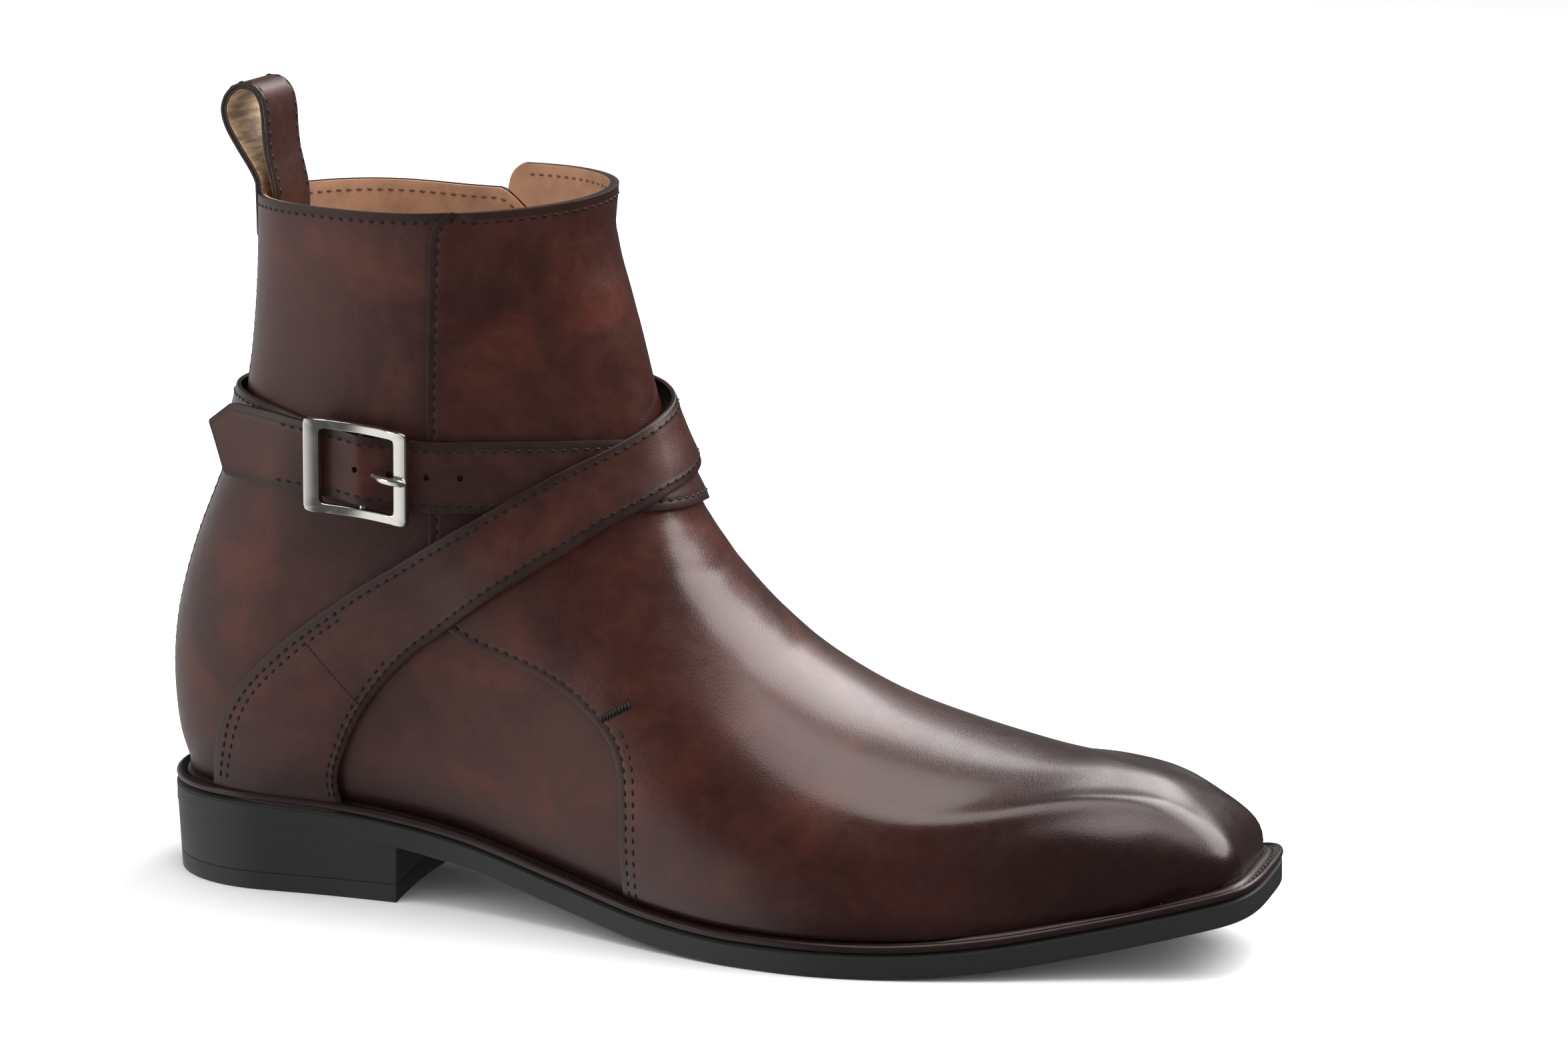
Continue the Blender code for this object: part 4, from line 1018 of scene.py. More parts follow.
def make_materials(colours):
    """Every finish of the boot, by name."""
    grain, burnish_and_shade = grain_group(), burnish_and_shade_group()
    finish = {key: calf(name, colours, grain, burnish_and_shade, look) for key, (name, look) in CALF.items()}
    finish.update({
        "edge": cut_leather("Dyed cut edge", colours.edge, grain),
        "lining": plain_leather("Tan lining", colours.lining, grain),
        "loop": creased_lining("Loop lining", colours.loop),
        "thread": flat_material("Thread", colours.thread, 0.55, 3000.0),
        "tan_thread": flat_material("Lining thread", colours.tan_thread, 0.6, 3000.0),
        "rubber": flat_material("Charcoal rubber", colours.rubber, 0.55, 1400.0),
        "nickel": flat_material("Polished nickel", colours.nickel, 0.17, 300.0, 1.0, 0.000004, 0.03),
    })
    return finish


FINISH = {}


def finishes(context):
    if "quarter" not in FINISH:
        FINISH.update(make_materials(context.scene.boot_colours))
    return FINISH


# Upper


def on_panel(rows, low, high, u, v):
    """Shares across and along the panel grid of a point between the vamp's two cut edges."""
    row = np.interp(v, np.linspace(0, 1, len(rows)), rows)
    left, right = np.interp(row, rows, low), np.interp(row, rows, high)
    return left + u * (right - left), row


def vamp_place(rows, low, high, over):
    """Where a point of the vamp goes: over the skin, and in line with the lining where it stands above the rim."""

    def place(u, v, layer):
        share, row = on_panel(rows, low, high, u, v)
        by = np.where(row > RIM_SHARE + 1e-4, PANEL_INNER, UNDER_VAMP) if layer else over
        return placed(lifted(PANEL, PANEL_NORMAL, share, row, by))

    return place


class BOOT_OT_upper(bpy.types.Operator):
    """Build the quarters, their lining and the vamp"""

    bl_idname = "boot.upper"
    bl_label = "Upper"

    def execute(self, context):
        sizes, finish = context.scene.boot_sizes, finishes(context)
        quarter, lining = sizes.quarter, sizes.lining

        def skin_at(outer, inner, drop=0.0):
            def place(u, v, layer):
                point = lifted(SKIN, SKIN_NORMAL, u, v, inner if layer else outer)
                point[:, 2] -= drop * (v > 0.9999)
                return placed(point)

            return place

        def at_back(face):
            shares = [abs(v.co.y - face.verts[0].co.y) < 1e-4 and v.co.z > 0.030 for v in face.verts]
            middle = face.calc_center_median()
            return all(shares) and middle.x < -0.100 and middle.z < COLLAR_HEIGHT * 0.975

        def below_rim(u, v):
            return np.linalg.norm(lattice(SKIN, u, np.ones(len(u))) - lattice(SKIN, u, v), axis=1)

        sheet(
            "quarters", 150, 210, skin_at(0.0, -quarter), (finish["quarter"], finish["edge"]),
            edge=0.0004, shade=below_rim, weld=at_back, replaced=("upper",), slot="burnished_leather",
        )
        sheet(
            "lining", 120, 150, skin_at(-quarter - LAYER_GAP, -quarter - lining, 0.0002),
            (finish["lining"], finish["lining"]), weld=at_back, slot="lining_leather",
        )
        rows = even_rows(250)
        low, high = seam_shares(rows)
        top = np.linspace(low[-1], high[-1], 160)
        cut = np.concatenate([
            lattice(PANEL, low, rows)[low > 0.001], lattice(PANEL, high, rows)[high < 0.999],
            lattice(PANEL, top, np.ones(len(top))),
        ])
        tree = KDTree(len(cut))
        for k, point in enumerate(cut):
            tree.insert(point, k)
        tree.balance()

        def from_cut(u, v):
            return np.array([tree.find(point)[2] for point in lattice(PANEL, *on_panel(rows, low, high, u, v))])

        sheet(
            "front_panel", 170, 249, vamp_place(rows, low, high, sizes.vamp),
            (finish["vamp"], finish["edge"], finish["lining"]),
            edge=0.0004, shade=from_cut, replaced=("vamp",), slot="burnished_leather",
        )
        return {"FINISHED"}


class BOOT_OT_backstay(bpy.types.Operator):
    """Build the narrow strip down the back"""

    bl_idname = "boot.backstay"
    bl_label = "Backstay"

    def execute(self, context):
        finish = finishes(context)
        heights = np.linspace(BACKSTAY_FOOT, BACKSTAY_TOP, 160)
        sides = np.linspace(BACK_Y - BACKSTAY_HALF, BACK_Y + BACKSTAY_HALF, 13)
        points = np.array([[on_back(y, z)[0] for y in sides] for z in heights])
        normal = unit(np.cross(np.gradient(points, axis=1), np.gradient(points, axis=0)))
        if normal[..., 0].mean() > 0:
            normal = -normal

        def place(u, v, layer):
            crown = 1 - (2 * u - 1) ** 4 * 0.35
            return placed(lifted(points, normal, u, v, -0.0001 if layer else BACKSTAY_THICK * crown))

        sheet(
            "backstay_strip", 14, 150, place, (finish["narrow"], finish["edge"]), edge=0.00025,
            shade=lambda u, v: np.minimum(u, 1 - u) * 2 * BACKSTAY_HALF, replaced=("backstay",), slot="edge_leather",
        )
        return {"FINISHED"}


# Straps


def strap_grid(rows, steps, across, tail=0.0):
    """Points of a strap's underside along its length and across its width, and its normals."""
    at = rows_at(rows, np.linspace(0, rows[-1][0], steps))
    points = []
    for turn_top, top, turn_low, low, lift in at:
        line = []
        for s in np.linspace(0, 1, across):
            turn = math.radians(turn_low + s * (turn_top - turn_low))
            z = (low + s * (top - low)) * COLLAR_HEIGHT
            way = Vector((math.cos(turn), math.sin(turn), 0))
            line.append(tuple(SKIN_TREE.ray_cast(Vector((*AXIS, z)), way)[0]))
        points.append(line)
    points = np.array(points)
    normal = np.cross(np.gradient(points, axis=0), np.gradient(points, axis=1))
    if ((points - np.array([*AXIS, 0])) * normal)[..., :2].sum() < 0:
        normal = -normal
    normal = unit(normal)
    points = points + normal * (at[:, -1] * MM)[:, None, None]
    if tail:
        run = unit((points[-1] - points[-2]).mean(axis=0))
        shares = np.linspace(0, 1, 22)[1:]
        more = np.array([points[-1] + run * tail * s for s in shares])
        narrow = np.where(shares > TIP_START, 1 - 0.93 * (shares - TIP_START) / 0.30, 1.0)
        middle = more[:, :1] + TIP_POINT * (more[:, -1:] - more[:, :1])
        more = middle + (more - middle) * narrow[:, None, None]
        points = np.concatenate([points, more])
        normal = np.concatenate([normal, np.repeat(normal[-1:], len(shares), axis=0)])
    return points, normal


STRAPS = {}


def width_at(low, v):
    """A strap's width at shares along it."""
    wide = np.linalg.norm(low[:, -1] - low[:, 0], axis=1)
    return np.interp(v, np.linspace(0, 1, len(wide)), wide)


class BOOT_OT_straps(bpy.types.Operator):
    """Build the two straps"""

    bl_idname = "boot.straps"
    bl_label = "Straps"

    def execute(self, context):
        thick, finish = context.scene.boot_sizes.strap, finishes(context)
        for name, rows, tail, node in (
            ("strap_with_buckle", BUCKLE_STRAP, 0.0, "buckle_strap"),
            ("strap_with_tip", TIP_STRAP, TIP_LENGTH, "tip_strap"),
        ):
            low, normal = STRAPS[name] = strap_grid(rows, 300, 15, tail)

            def place(u, v, layer):
                crown = 1 - 0.18 * (2 * u - 1) ** 6
                return placed(lifted(low, normal, u, v, 0.0 if layer else thick * crown))

            sheet(
                name, 20, 330, place, (finish["strap"], finish["edge"]),
                shade=lambda u, v: np.minimum(u, 1 - u) * width_at(low, v),
                holes=self.holes(low, normal, thick) if tail else (), replaced=(node,), slot="burnished_leather",
            )
        return {"FINISHED"}

    def holes(self, low, normal, thick):
        """The centres of the strap's holes, and which way they face."""
        late = np.linspace(0.6, 1, 800)
        middle = lifted(low, normal, np.full(len(late), 0.5), late, thick)
        at = [int(np.argmin(np.abs(middle[:, 0] - BUCKLE_AT[0] - along))) for along in HOLES]
        return [(placed(middle[k]), unit(lattice(normal, 0.5, late[k]))) for k in at]


# Buckle


def buckle_point(u, w, n):
    x, y, z = BUCKLE_AT
    return (x + u - ORIGIN_X, y - n, z + w + BUCKLE_SLOPE * u)


def sag(u):
    """How far the frame stands off the leg: less at its middle."""
    return 0.0049 - 0.0013 * math.cos(min(abs(u) / 0.0125, 1.0) * math.pi / 2) ** 2


def upright(bm, low, high, count, radius, sides):
    """A round bar across the frame, at its middle."""
    path = [buckle_point(0, w, BAR_AT) for w in np.linspace(low, high, count)]
    tube(bm, path, [radius] * count, sides, up=(0, 1, 0))


class BOOT_OT_buckle(bpy.types.Operator):
    """Build the buckle frame with its bar, and the prong"""

    bl_idname = "boot.buckle"
    bl_label = "Buckle"

    def execute(self, context):
        nickel = (finishes(context)["nickel"],)
        half = context.scene.boot_sizes.buckle_height / 2
        bm = bmesh.new()
        edges = []
        for left, right, tall, corner in ((0.0109, 0.0101, half - 0.0022, 30), (0.0152, 0.0139, half + 0.0003, 26)):
            circle = bmesh.ops.create_circle(bm, segments=96, radius=1.0)["verts"]
            for v in circle:
                a = math.atan2(v.co.y, v.co.x)
                c, s = math.cos(a), math.sin(a)
                square = (abs(c) ** corner + abs(s) ** corner) ** (-1 / corner)
                c, s = c * square, s * square
                v.co = ((right if c > 0 else left) * c, tall * s, 0)
            edges += {e for v in circle for e in v.link_edges}
        bmesh.ops.bridge_loops(bm, edges=edges)
        high = set(thickened(bm))
        for v in bm.verts:
            u, w = v.co.x, v.co.y
            proud = 0.0009 * smooth(-u, 0.0100, 0.0114) + 0.0004 * smooth(u, 0.0096, 0.0106)
            v.co = buckle_point(u, w, sag(u) + (FRAME_THICK + float(proud) if v in high else 0.0))
        bmesh.ops.recalc_face_normals(bm, faces=bm.faces)
        rounded(bm, sharp_edges(bm, 40), 0.00042, 4)
        upright(bm, -half + 0.0008, half - 0.0008, 6, BAR_RADIUS, 14)
        finish_piece(bm, "buckle", nickel, replaced=("buckle_frame",), slot="nickel")
        bm = bmesh.new()
        path = rows_at([
            # step, along, out
            (0, 0.0016, 0.0030), (1, 0.0030, 0.0040), (2, 0.0050, 0.0056), (3, 0.0070, 0.0074), (4, 0.0095, 0.0083),
            (5, 0.0120, 0.0084), (6, 0.0143, 0.0082),
        ], np.linspace(0, 6, 25))
        shares = np.linspace(0, 1, len(path))
        radii = np.interp(shares, [0, 0.1, 0.5, 0.9, 1.0], [0.0008, 0.0011, 0.00115, 0.0011, 0.0005])
        tube(bm, [buckle_point(u, -0.0006, n) for u, n in path], radii, 14)
        upright(bm, -0.0022, 0.0010, 5, PRONG_EYE, 16)
        bmesh.ops.recalc_face_normals(bm, faces=bm.faces)
        finish_piece(bm, "prong", nickel, replaced=("buckle_prong",), slot="nickel")
        return {"FINISHED"}


# Pull loop


def loop_line():
    """The pull loop's side view in metres, at even steps, and its outward directions."""
    path = np.array(LOOP_PATH) * (LENGTH, COLLAR_HEIGHT)
    fine = rows_at(np.column_stack([np.arange(len(path)), path]), np.linspace(0, len(path) - 1, 600))
    run = run_of(fine)
    fine = at_run(np.linspace(0, run[-1], LOOP_STEPS), run, fine)
    ahead = np.gradient(fine, axis=0)
    out = unit(np.stack([-ahead[:, 1], ahead[:, 0]], 1))
    return fine, out if out[LOOP_STEPS // 2, 1] > 0 else -out


class BOOT_OT_pull_loop(bpy.types.Operator):
    """Build the pull loop and its lining"""

    bl_idname = "boot.pull_loop"
    bl_label = "Pull loop"

    def execute(self, context):
        width, finish = context.scene.boot_sizes.loop_width, finishes(context)
        path, out = (line[:, None].repeat(2, axis=1) for line in loop_line())

        def layer_place(outer, inner):
            def place(u, v, layer):
                x, z = lifted(path, out, np.zeros(len(u)), v, inner if layer else outer).T
                return placed(np.stack([x, LOOP_Y + (u - 0.5) * width, z], 1))

            return place

        sheet(
            "loop_leather", 14, 110, layer_place(LOOP_THICK, 0.0001), (finish["narrow"], finish["edge"]),
            shade=lambda u, v: np.minimum(u, 1 - u) * width, replaced=("pull_loop",), slot="burnished_leather",
        )
        sheet(
            "loop_lining", 14, 110, layer_place(LAYER_GAP, -0.0009), (finish["loop"], finish["edge"]),
            edge=0.0002, slot="lining_leather",
        )
        return {"FINISHED"}


# Sole


def edge_path(count):
    """Points round the sole's outline, and the outward directions there, from the heel's back by the lateral side."""
    x, c, h = outline((1 - np.cos(np.linspace(0, np.pi, 1200))) / 2)
    loop = np.concatenate([np.stack([x, c - h], 1), np.stack([x, c + h], 1)[::-1]])
    loop = loop[np.concatenate([[True], np.linalg.norm(np.diff(loop, axis=0), axis=1) > 1e-6])]
    loop = np.concatenate([loop, loop[:1]])
    run = run_of(loop)
    points = at_run(np.linspace(0, run[-1], count + 1), run, loop)
    ahead = np.roll(points[:-1], -3, axis=0) - np.roll(points[:-1], 3, axis=0)
    ahead = np.concatenate([ahead, ahead[:1]])
    return points, unit(np.stack([ahead[:, 1], -ahead[:, 0]], 1))


def swept_edge(name, profile, count, slots, **kept):
    """A layer of the sole: a profile of (inset, height) swept round the outline, its inner ends joined across."""
    points, out = edge_path(count)
    last = len(profile) - 1
    bm = bmesh.new()
    bmesh.ops.create_grid(bm, x_segments=last, y_segments=count, size=0.5)
    columns = {0: {}, last: {}}
    for v in bm.verts:
        i, j = round((v.co.y + 0.5) * count), round((v.co.x + 0.5) * last)
        inset, height = profile[j]
        p = points[i] - out[i] * inset
        v.co = (p[0] - ORIGIN_X, p[1], float(underside(p[0])) + height)
        if j in columns:
            columns[j][i % count] = v
    bmesh.ops.remove_doubles(bm, verts=bm.verts, dist=WELD)
    for ring in columns.values():
        lateral = {v: i < count // 2 for i, v in ring.items() if v.is_valid}
        edges = [e for e in bm.edges if len(e.link_faces) == 1 and all(v in lateral for v in e.verts)]
        halves = [e for side in (True, False) for e in edges if all(lateral[v] is side for v in e.verts)]
        bmesh.ops.bridge_loops(bm, edges=halves)
        rest = [e for e in edges if e.is_valid and len(e.link_faces) == 1]
        bmesh.ops.holes_fill(bm, edges=rest, sides=0)
    bmesh.ops.recalc_face_normals(bm, faces=bm.faces)
    finish_piece(bm, name, slots, **kept)


def arc(inset, height, radius, start, end, steps):
    """Points of an arc in the profile plane, angles in degrees, 0 pointing outward."""
    return [
        (inset - radius * math.cos(math.radians(a)), height + radius * math.sin(math.radians(a)))
        for a in np.linspace(start, end, steps)
    ]


class BOOT_OT_sole(bpy.types.Operator):
    """Build the outsole, welt, heel and insole"""

    bl_idname = "boot.sole"
    bl_label = "Sole"

    def execute(self, context):
        finish = finishes(context)
        rubber, welt = finish["rubber"], finish["welt"]
        bevel = 0.0007
        swept_edge("outsole_rubber", [
            (0.012, 0.0), *arc(bevel, bevel, bevel, -90, 0, 5), (0.00005, 0.0030), (0.0001, 0.0045),
            (0.0001, OUTSOLE - 0.0008), (0.0007, OUTSOLE - 0.0002),
            (0.0012, OUTSOLE + 0.0001), (0.010, OUTSOLE + 0.0001),
        ], 560, (rubber,), replaced=("outsole",), slot="sole_rubber")
        top = OUTSOLE + WELT
        swept_edge("welt_strip", [
            (0.012, OUTSOLE + 0.0003), (0.0014, OUTSOLE + 0.0002), *arc(0.0011, OUTSOLE + 0.0014, 0.0012, -80, 95, 9),
            (0.0017, top - 0.0004), (0.0021, top - 0.0007), (0.0027, top - 0.0007), (0.0031, top - 0.0002),
            (0.0038, top + 0.0003), (0.0050, top + 0.0004), (0.012, top + 0.0001),
        ], 560, (welt,), replaced=("welt",), slot="edge_leather")
        inner = FEATHER_INSET + 0.0024 + 0.0012
        swept_edge("insole_sock", [
            (inner + 0.010, top + 0.0004), (inner + 0.0006, top + 0.0003),
            *arc(inner + 0.0008, top + 0.0017, 0.0008, -60, 90, 5),
            (inner + 0.004, top + 0.0027), (inner + 0.010, top + 0.0030),
        ], 360, (finish["lining"],), replaced=("insole",), slot="lining_leather")
        self.heel(rubber)
        return {"FINISHED"}

    def heel(self, rubber):
        """The heel block and its top lift, tapered to the floor, with a hollowed breast."""
        loop = edge_path(900)[0][:-1]
        loop = loop[loop[:, 0] <= HEEL_LENGTH + 1e-5]
        turns = np.arctan2(loop[:, 1] - HEEL_Y, loop[:, 0] - HEEL_LENGTH + 1e-3) % (2 * math.pi)
        loop = loop[np.argsort(turns)]
        run = run_of(loop)
        loop = at_run(np.linspace(0, run[-1], 150), run, loop)
        shares = np.linspace(0, 1, 40)[1:-1]
        breast = loop[-1] + (loop[0] - loop[-1]) * shares[:, None]
        breast[:, 0] -= BREAST_HOLLOW * np.sin(np.pi * shares)
        loop = np.concatenate([loop, breast])
        count = len(loop)
        centre = np.array([HEEL_LENGTH * 0.5, HEEL_Y])
        for name, low, high, node in (
            ("heel_stack", TOP_LIFT + LAYER_GAP, None, "heel_block"), ("heel_lift", 0.0, TOP_LIFT, "top_lift"),
        ):
            bm = bmesh.new()
            bmesh.ops.create_circle(bm, segments=count, radius=1.0, cap_ends=True)
            top = set(thickened(bm))
            for v in bm.verts:
                turn = (math.atan2(v.co.y, v.co.x) / (2 * math.pi) * count) % count
                p = loop[round(turn) % count]
                if v in top and high is None:
                    z = float(underside(p[0])) + OUTSOLE - 0.0012
                    inset = -0.0001 + 0.0008 * float(smooth(p[0], HEEL_LENGTH - 0.012, HEEL_LENGTH))
                else:
                    z = high if v in top else low
                    inset = HEEL_TAPER * (1 - z / (HEEL_RISE + OUTSOLE))
                pull = unit(centre - p) * inset
                v.co = (p[0] + pull[0] - ORIGIN_X, p[1] + pull[1], z)
            bmesh.ops.recalc_face_normals(bm, faces=bm.faces)
            rounded(bm, sharp_edges(bm, 55), 0.00018)
            finish_piece(bm, name, (rubber,), replaced=(node,), slot="sole_rubber")


# Stitches


def seam_line(side):
    """Points along the vamp's cut edge on one side, from the welt up to the collar, and its skin normals."""
    rows = even_rows(700)
    low, high = seam_shares(rows)
    share = low if side < 0 else high
    keep = (share > 0.001) & (share < 0.999)
    return lattice(PANEL, share[keep], rows[keep]), unit(lattice(PANEL_NORMAL, share[keep], rows[keep]))


def inward(points, normals, by):
    """A line along the vamp's edge moved onto the vamp, toward a point ahead of it."""
    side = unit(np.cross(normals, unit(np.gradient(points, axis=0))))
    if (side * (np.array((0.20, 0.0, 0.15)) - points)).sum() < 0:
        side = -side
    return points + side * by


def below_top(grid, first, last, drop, count=300):
    """A line under a grid's top edge."""
    return lattice(grid, np.linspace(first, last, count), np.ones(count)) - (0, 0, drop)


def outward(found, normals):
    """Turns normals away from the middle of the foot or, higher up, of the shaft."""
    middle = np.tile((0.12, AXIS[1], 0.03), (len(found), 1))
    high = found[:, 2] > 0.10
    middle[high] = np.column_stack([np.tile(AXIS, (high.sum(), 1)), found[high, 2]])
    normals[((found - middle) * normals).sum(axis=1) < 0] *= -1


class BOOT_OT_stitches(bpy.types.Operator):
    """Sew the seams of the upper, the straps, the pull loop and the welt"""

    bl_idname = "boot.stitches"
    bl_label = "Stitches"

    def execute(self, context):
        sizes, finish = context.scene.boot_sizes, finishes(context)
        self.upper(sizes, finish)
        self.straps(sizes, finish)
        self.trim(sizes, finish)
        return {"FINISHED"}

    def upper(self, sizes, finish):
        """The vamp's rows, the rows under the collar inside and out, and a bartack on each side."""
        bm, inner = bmesh.new(), bmesh.new()
        for side in (-1, 1):
            line, normal = seam_line(side)
            for by, top in VAMP_ROWS:
                path = inward(line, normal, by)
                path = path[(path[:, 2] < top * COLLAR_HEIGHT) & (path[:, 2] > feather(path[:, 0]) + 0.001)]
                self.sew(bm, path, sizes.vamp, sizes)
        low, high = (float(share[0]) for share in seam_shares(np.array([RIM_SHARE])))
        for first, last in ((0.0, low - 0.006), (high + 0.006, 1.0)):
            self.sew(bm, below_top(SKIN, first, last, 0.0025), 0.0, sizes)
        low, high = (float(share[0]) for share in seam_shares(np.array([1.0])))
        path = below_top(PANEL, low + 0.006, high - 0.006, 0.0026)
        self.sew(bm, path, sizes.vamp, sizes)
        self.sew(inner, path - (0, 0, 0.0004), PANEL_INNER, sizes, inside=True)
        path = below_top(SKIN, 0, 1, 0.0030, 600)
        self.sew(inner, path, -sizes.quarter - sizes.lining - LAYER_GAP, sizes, inside=True)
        finish_piece(inner, "lining_stitches", (finish["tan_thread"],))
        for side in (-1, 1):
            start, end = (0.1374, 0.0020 + side * 0.0400, 0.0590), (0.1445, 0.0020 + side * 0.0392, 0.0631)
            points, normals = on_tree(PANEL_TREE, np.linspace(start, end, 10))
            outward(points, normals)
            runs = unit(np.cross(normals, unit(np.array(end) - np.array(start))))
            stitch(bm, placed(points + normals * (sizes.vamp + 0.0002)), runs, normals, 0.0026, 0.0009)
        finish_piece(bm, "seam_stitches", (finish["thread"],))

    def straps(self, sizes, finish):
        """Two rows along each strap, two more at its anchor, and a fine join across it."""
        bm = bmesh.new()
        for name, (low, normal) in STRAPS.items():
            end = 0.93 if name == "strap_with_tip" else 0.99
            for off, stop in STRAP_ROWS:
                v = np.linspace(0.02, stop or end, 900)
                u = off / width_at(low, v)
                for across in (u, 1 - u):
                    normals = unit(lattice(normal, across, v))
                    self.sew_on(bm, lattice(low, across, v) + normals * sizes.strap * 0.97, normals, sizes)
        for side, name in ((-1, "strap_with_buckle"), (1, "strap_with_tip")):
            start, end = (0.0517, side * 0.0320, 0.0711), (0.0664, side * 0.0318, 0.0560)
            low, normal = STRAPS[name]
            points, normals = on_tree(tree_of(low + normal * sizes.strap), np.linspace(start, end, 60))
            normals *= np.sign(normals[:, 1:2]) * side
            points, runs = resampled(points, 0.0012)
            stitch(bm, placed(points), runs, np.tile(normals.mean(axis=0), (len(points), 1)), 0.0016, 0.00042)
        finish_piece(bm, "strap_stitches", (finish["thread"],))

    def trim(self, sizes, finish):
        """The rows of the pull loop, the backstay and the welt."""
        bm = bmesh.new()
        path, out = loop_line()
        sewn = slice(14, 106)
        for y in (-sizes.loop_width / 2 + 0.0012, sizes.loop_width / 2 - 0.0012):
            x, z = (path + out * LOOP_THICK).T
            points = np.stack([x, np.full(LOOP_STEPS, LOOP_Y + y), z], 1)
            normals = np.stack([out[:, 0], np.zeros(LOOP_STEPS), out[:, 1]], 1)
            self.sew_on(bm, points[sewn], normals[sewn], sizes)
        for y in (BACK_Y - 0.0048, BACK_Y + 0.0048):
            hits = np.array([on_back(y, z) for z in np.linspace(0.031, 0.186, 200)])
            points, normals = hits[:, 0], hits[:, 1]
            normals *= -np.sign(normals[:, :1])
            self.sew_on(bm, points + normals * 0.00072, normals, sizes)
        points, out = edge_path(900)
        path = points - out * 0.0024
        path = np.column_stack([path, underside(path[:, 0]) + OUTSOLE + WELT - 0.0006])
        self.sew_on(bm, path, np.tile((0.0, 0.0, 1.0), (len(path), 1)), sizes)
        finish_piece(bm, "trim_stitches", (finish["thread"],))

    def sew(self, bm, path, height, sizes, inside=False):
        """A row of stitches near the panel's surface, at a height over it."""
        points, runs = resampled(path, sizes.pitch)
        found, normals = on_tree(PANEL_TREE, points)
        outward(found, normals)
        found = found + normals * height
        stitch(bm, placed(found), runs, -normals if inside else normals, sizes.stitch, sizes.thread)

    def sew_on(self, bm, path, normal, sizes):
        """A row of stitches along a path, with the normals given there."""
        points, runs = resampled(path, sizes.pitch)
        run = run_of(path)
        at = (np.arange(len(points)) + 0.5) * run[-1] / len(points)
        stitch(bm, placed(points), runs, unit(at_run(at, run, normal)), sizes.stitch, sizes.thread)


# Stage


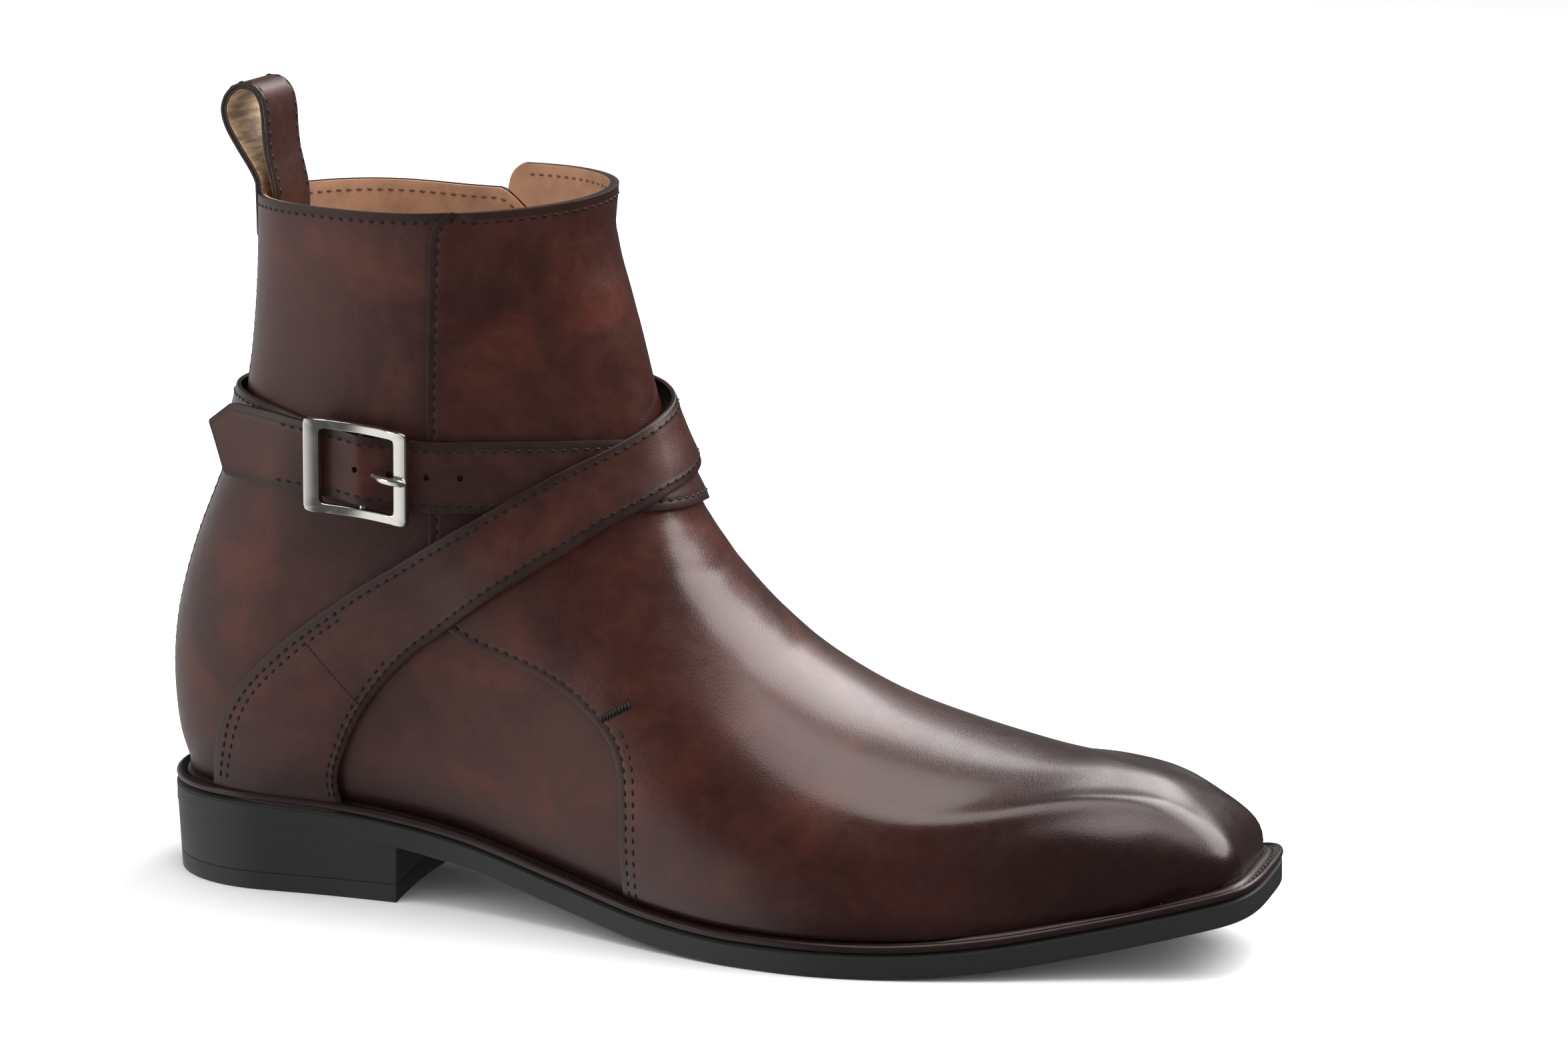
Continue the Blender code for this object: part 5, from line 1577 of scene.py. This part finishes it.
class BOOT_OT_stage(bpy.types.Operator):
    """Lay the floor and set the lights and camera"""

    bl_idname = "boot.stage"
    bl_label = "Stage"

    def execute(self, context):
        scene = context.scene
        self.floor(scene)
        self.world(scene)
        scene.view_settings.view_transform = "Standard"
        for name, lamp in LAMPS.items():
            self.lamp(name, *lamp)
        self.camera(scene)
        return {"FINISHED"}

    def floor(self, scene):
        """A pale floor, which the leather doesn't mirror."""
        bm = bmesh.new()
        bmesh.ops.create_grid(bm, x_segments=1, y_segments=1, size=6.0)
        mesh = bpy.data.meshes.new("floor")
        bm.to_mesh(mesh)
        bm.free()
        floor = bpy.data.objects.new("floor", mesh)
        scene.collection.objects.link(floor)
        material, tree, shader = principled("Pale floor")
        feed(tree, shader, {"Base Color": (0.93, 0.93, 0.93, 1), "Roughness": 0.6})
        mesh.materials.append(material)
        floor.visible_glossy = False

    def world(self, scene):
        """White to the camera and in diffuse light, dark in reflections but for a low patch behind the heel."""
        world = bpy.data.worlds.new("Studio")
        scene.world = world
        world.use_nodes = True
        tree = world.node_tree
        path = put(tree, "ShaderNodeLightPath").outputs
        toward = put(tree, "ShaderNodeTexCoord").outputs["Generated"]
        x, _, z = put(tree, "ShaderNodeSeparateXYZ", {0: toward}).outputs
        patch = times(tree, ranged(tree, x, -0.60, -0.10, 1.0, 0.0), ranged(tree, z, 0.0, 0.30, 1.0, 0.0))
        shine = plus(tree, times(tree, patch, 0.80), 0.08)
        light = plus(tree, times(tree, path["Is Diffuse Ray"], 1.05), path["Is Camera Ray"])
        light = plus(tree, light, times(tree, path["Is Glossy Ray"], shine))
        feed(tree, tree.nodes["Background"], {0: (1, 1, 1, 1), 1: light})

    def lamp(self, name, at, aim, width, height, power):
        data = bpy.data.lights.new(name, "AREA")
        data.shape, data.size, data.size_y, data.energy = "RECTANGLE", width, height, power
        lamp = bpy.data.objects.new(name, data)
        lamp.location = at
        lamp.visible_camera = False
        lamp.rotation_euler = (Vector(at) - Vector(aim)).to_track_quat("Z", "Y").to_euler()
        bpy.context.scene.collection.objects.link(lamp)

    def camera(self, scene):
        data = bpy.data.cameras.new("camera")
        data.sensor_width = SENSOR_WIDTH
        data.lens = CAMERA_LENS
        data.clip_start, data.clip_end = 0.05, 30.0
        camera = bpy.data.objects.new("camera", data)
        level, tilt = math.cos(CAMERA_PITCH), math.sin(CAMERA_PITCH)
        ahead = Vector((-math.sin(CAMERA_YAW) * level, math.cos(CAMERA_YAW) * level, -tilt))
        right = Vector((math.cos(CAMERA_YAW), math.sin(CAMERA_YAW), 0))
        up = right.cross(ahead)
        c, s = math.cos(CAMERA_ROLL), math.sin(CAMERA_ROLL)
        right, up = right * c + up * s, up * c - right * s
        rows = [(right[k], up[k], -ahead[k], CAMERA_AT[k]) for k in range(3)]
        camera.matrix_world = Matrix((*rows, (0, 0, 0, 1)))
        scene.collection.objects.link(camera)
        scene.camera = camera


class BOOT_PT_panel(bpy.types.Panel):
    """The boot's pieces in the sidebar"""

    bl_idname = "BOOT_PT_panel"
    bl_label = "Jodhpur boot"
    bl_space_type = "VIEW_3D"
    bl_region_type = "UI"
    bl_category = "Boot"

    def draw(self, context):
        layout = self.layout
        for group_of in (context.scene.boot_sizes, context.scene.boot_colours):
            for key in group_of.__annotations__:
                layout.prop(group_of, key)
        for step in STEPS:
            layout.operator(step.bl_idname)


STEPS = (
    BOOT_OT_upper, BOOT_OT_backstay, BOOT_OT_straps, BOOT_OT_buckle, BOOT_OT_pull_loop, BOOT_OT_sole,
    BOOT_OT_stitches, BOOT_OT_stage,
)
CLASSES = (BootSizes, BootColours, *STEPS, BOOT_PT_panel)


def register():
    for kind in CLASSES:
        bpy.utils.register_class(kind)
    bpy.types.Scene.boot_sizes = PointerProperty(type=BootSizes)
    bpy.types.Scene.boot_colours = PointerProperty(type=BootColours)


def unregister():
    del bpy.types.Scene.boot_sizes
    del bpy.types.Scene.boot_colours
    for kind in reversed(CLASSES):
        bpy.utils.unregister_class(kind)


def main():
    register()
    for step in STEPS:
        area, verb = step.bl_idname.split(".")
        getattr(getattr(bpy.ops, area), verb)()


if __name__ == "__main__":
    main()
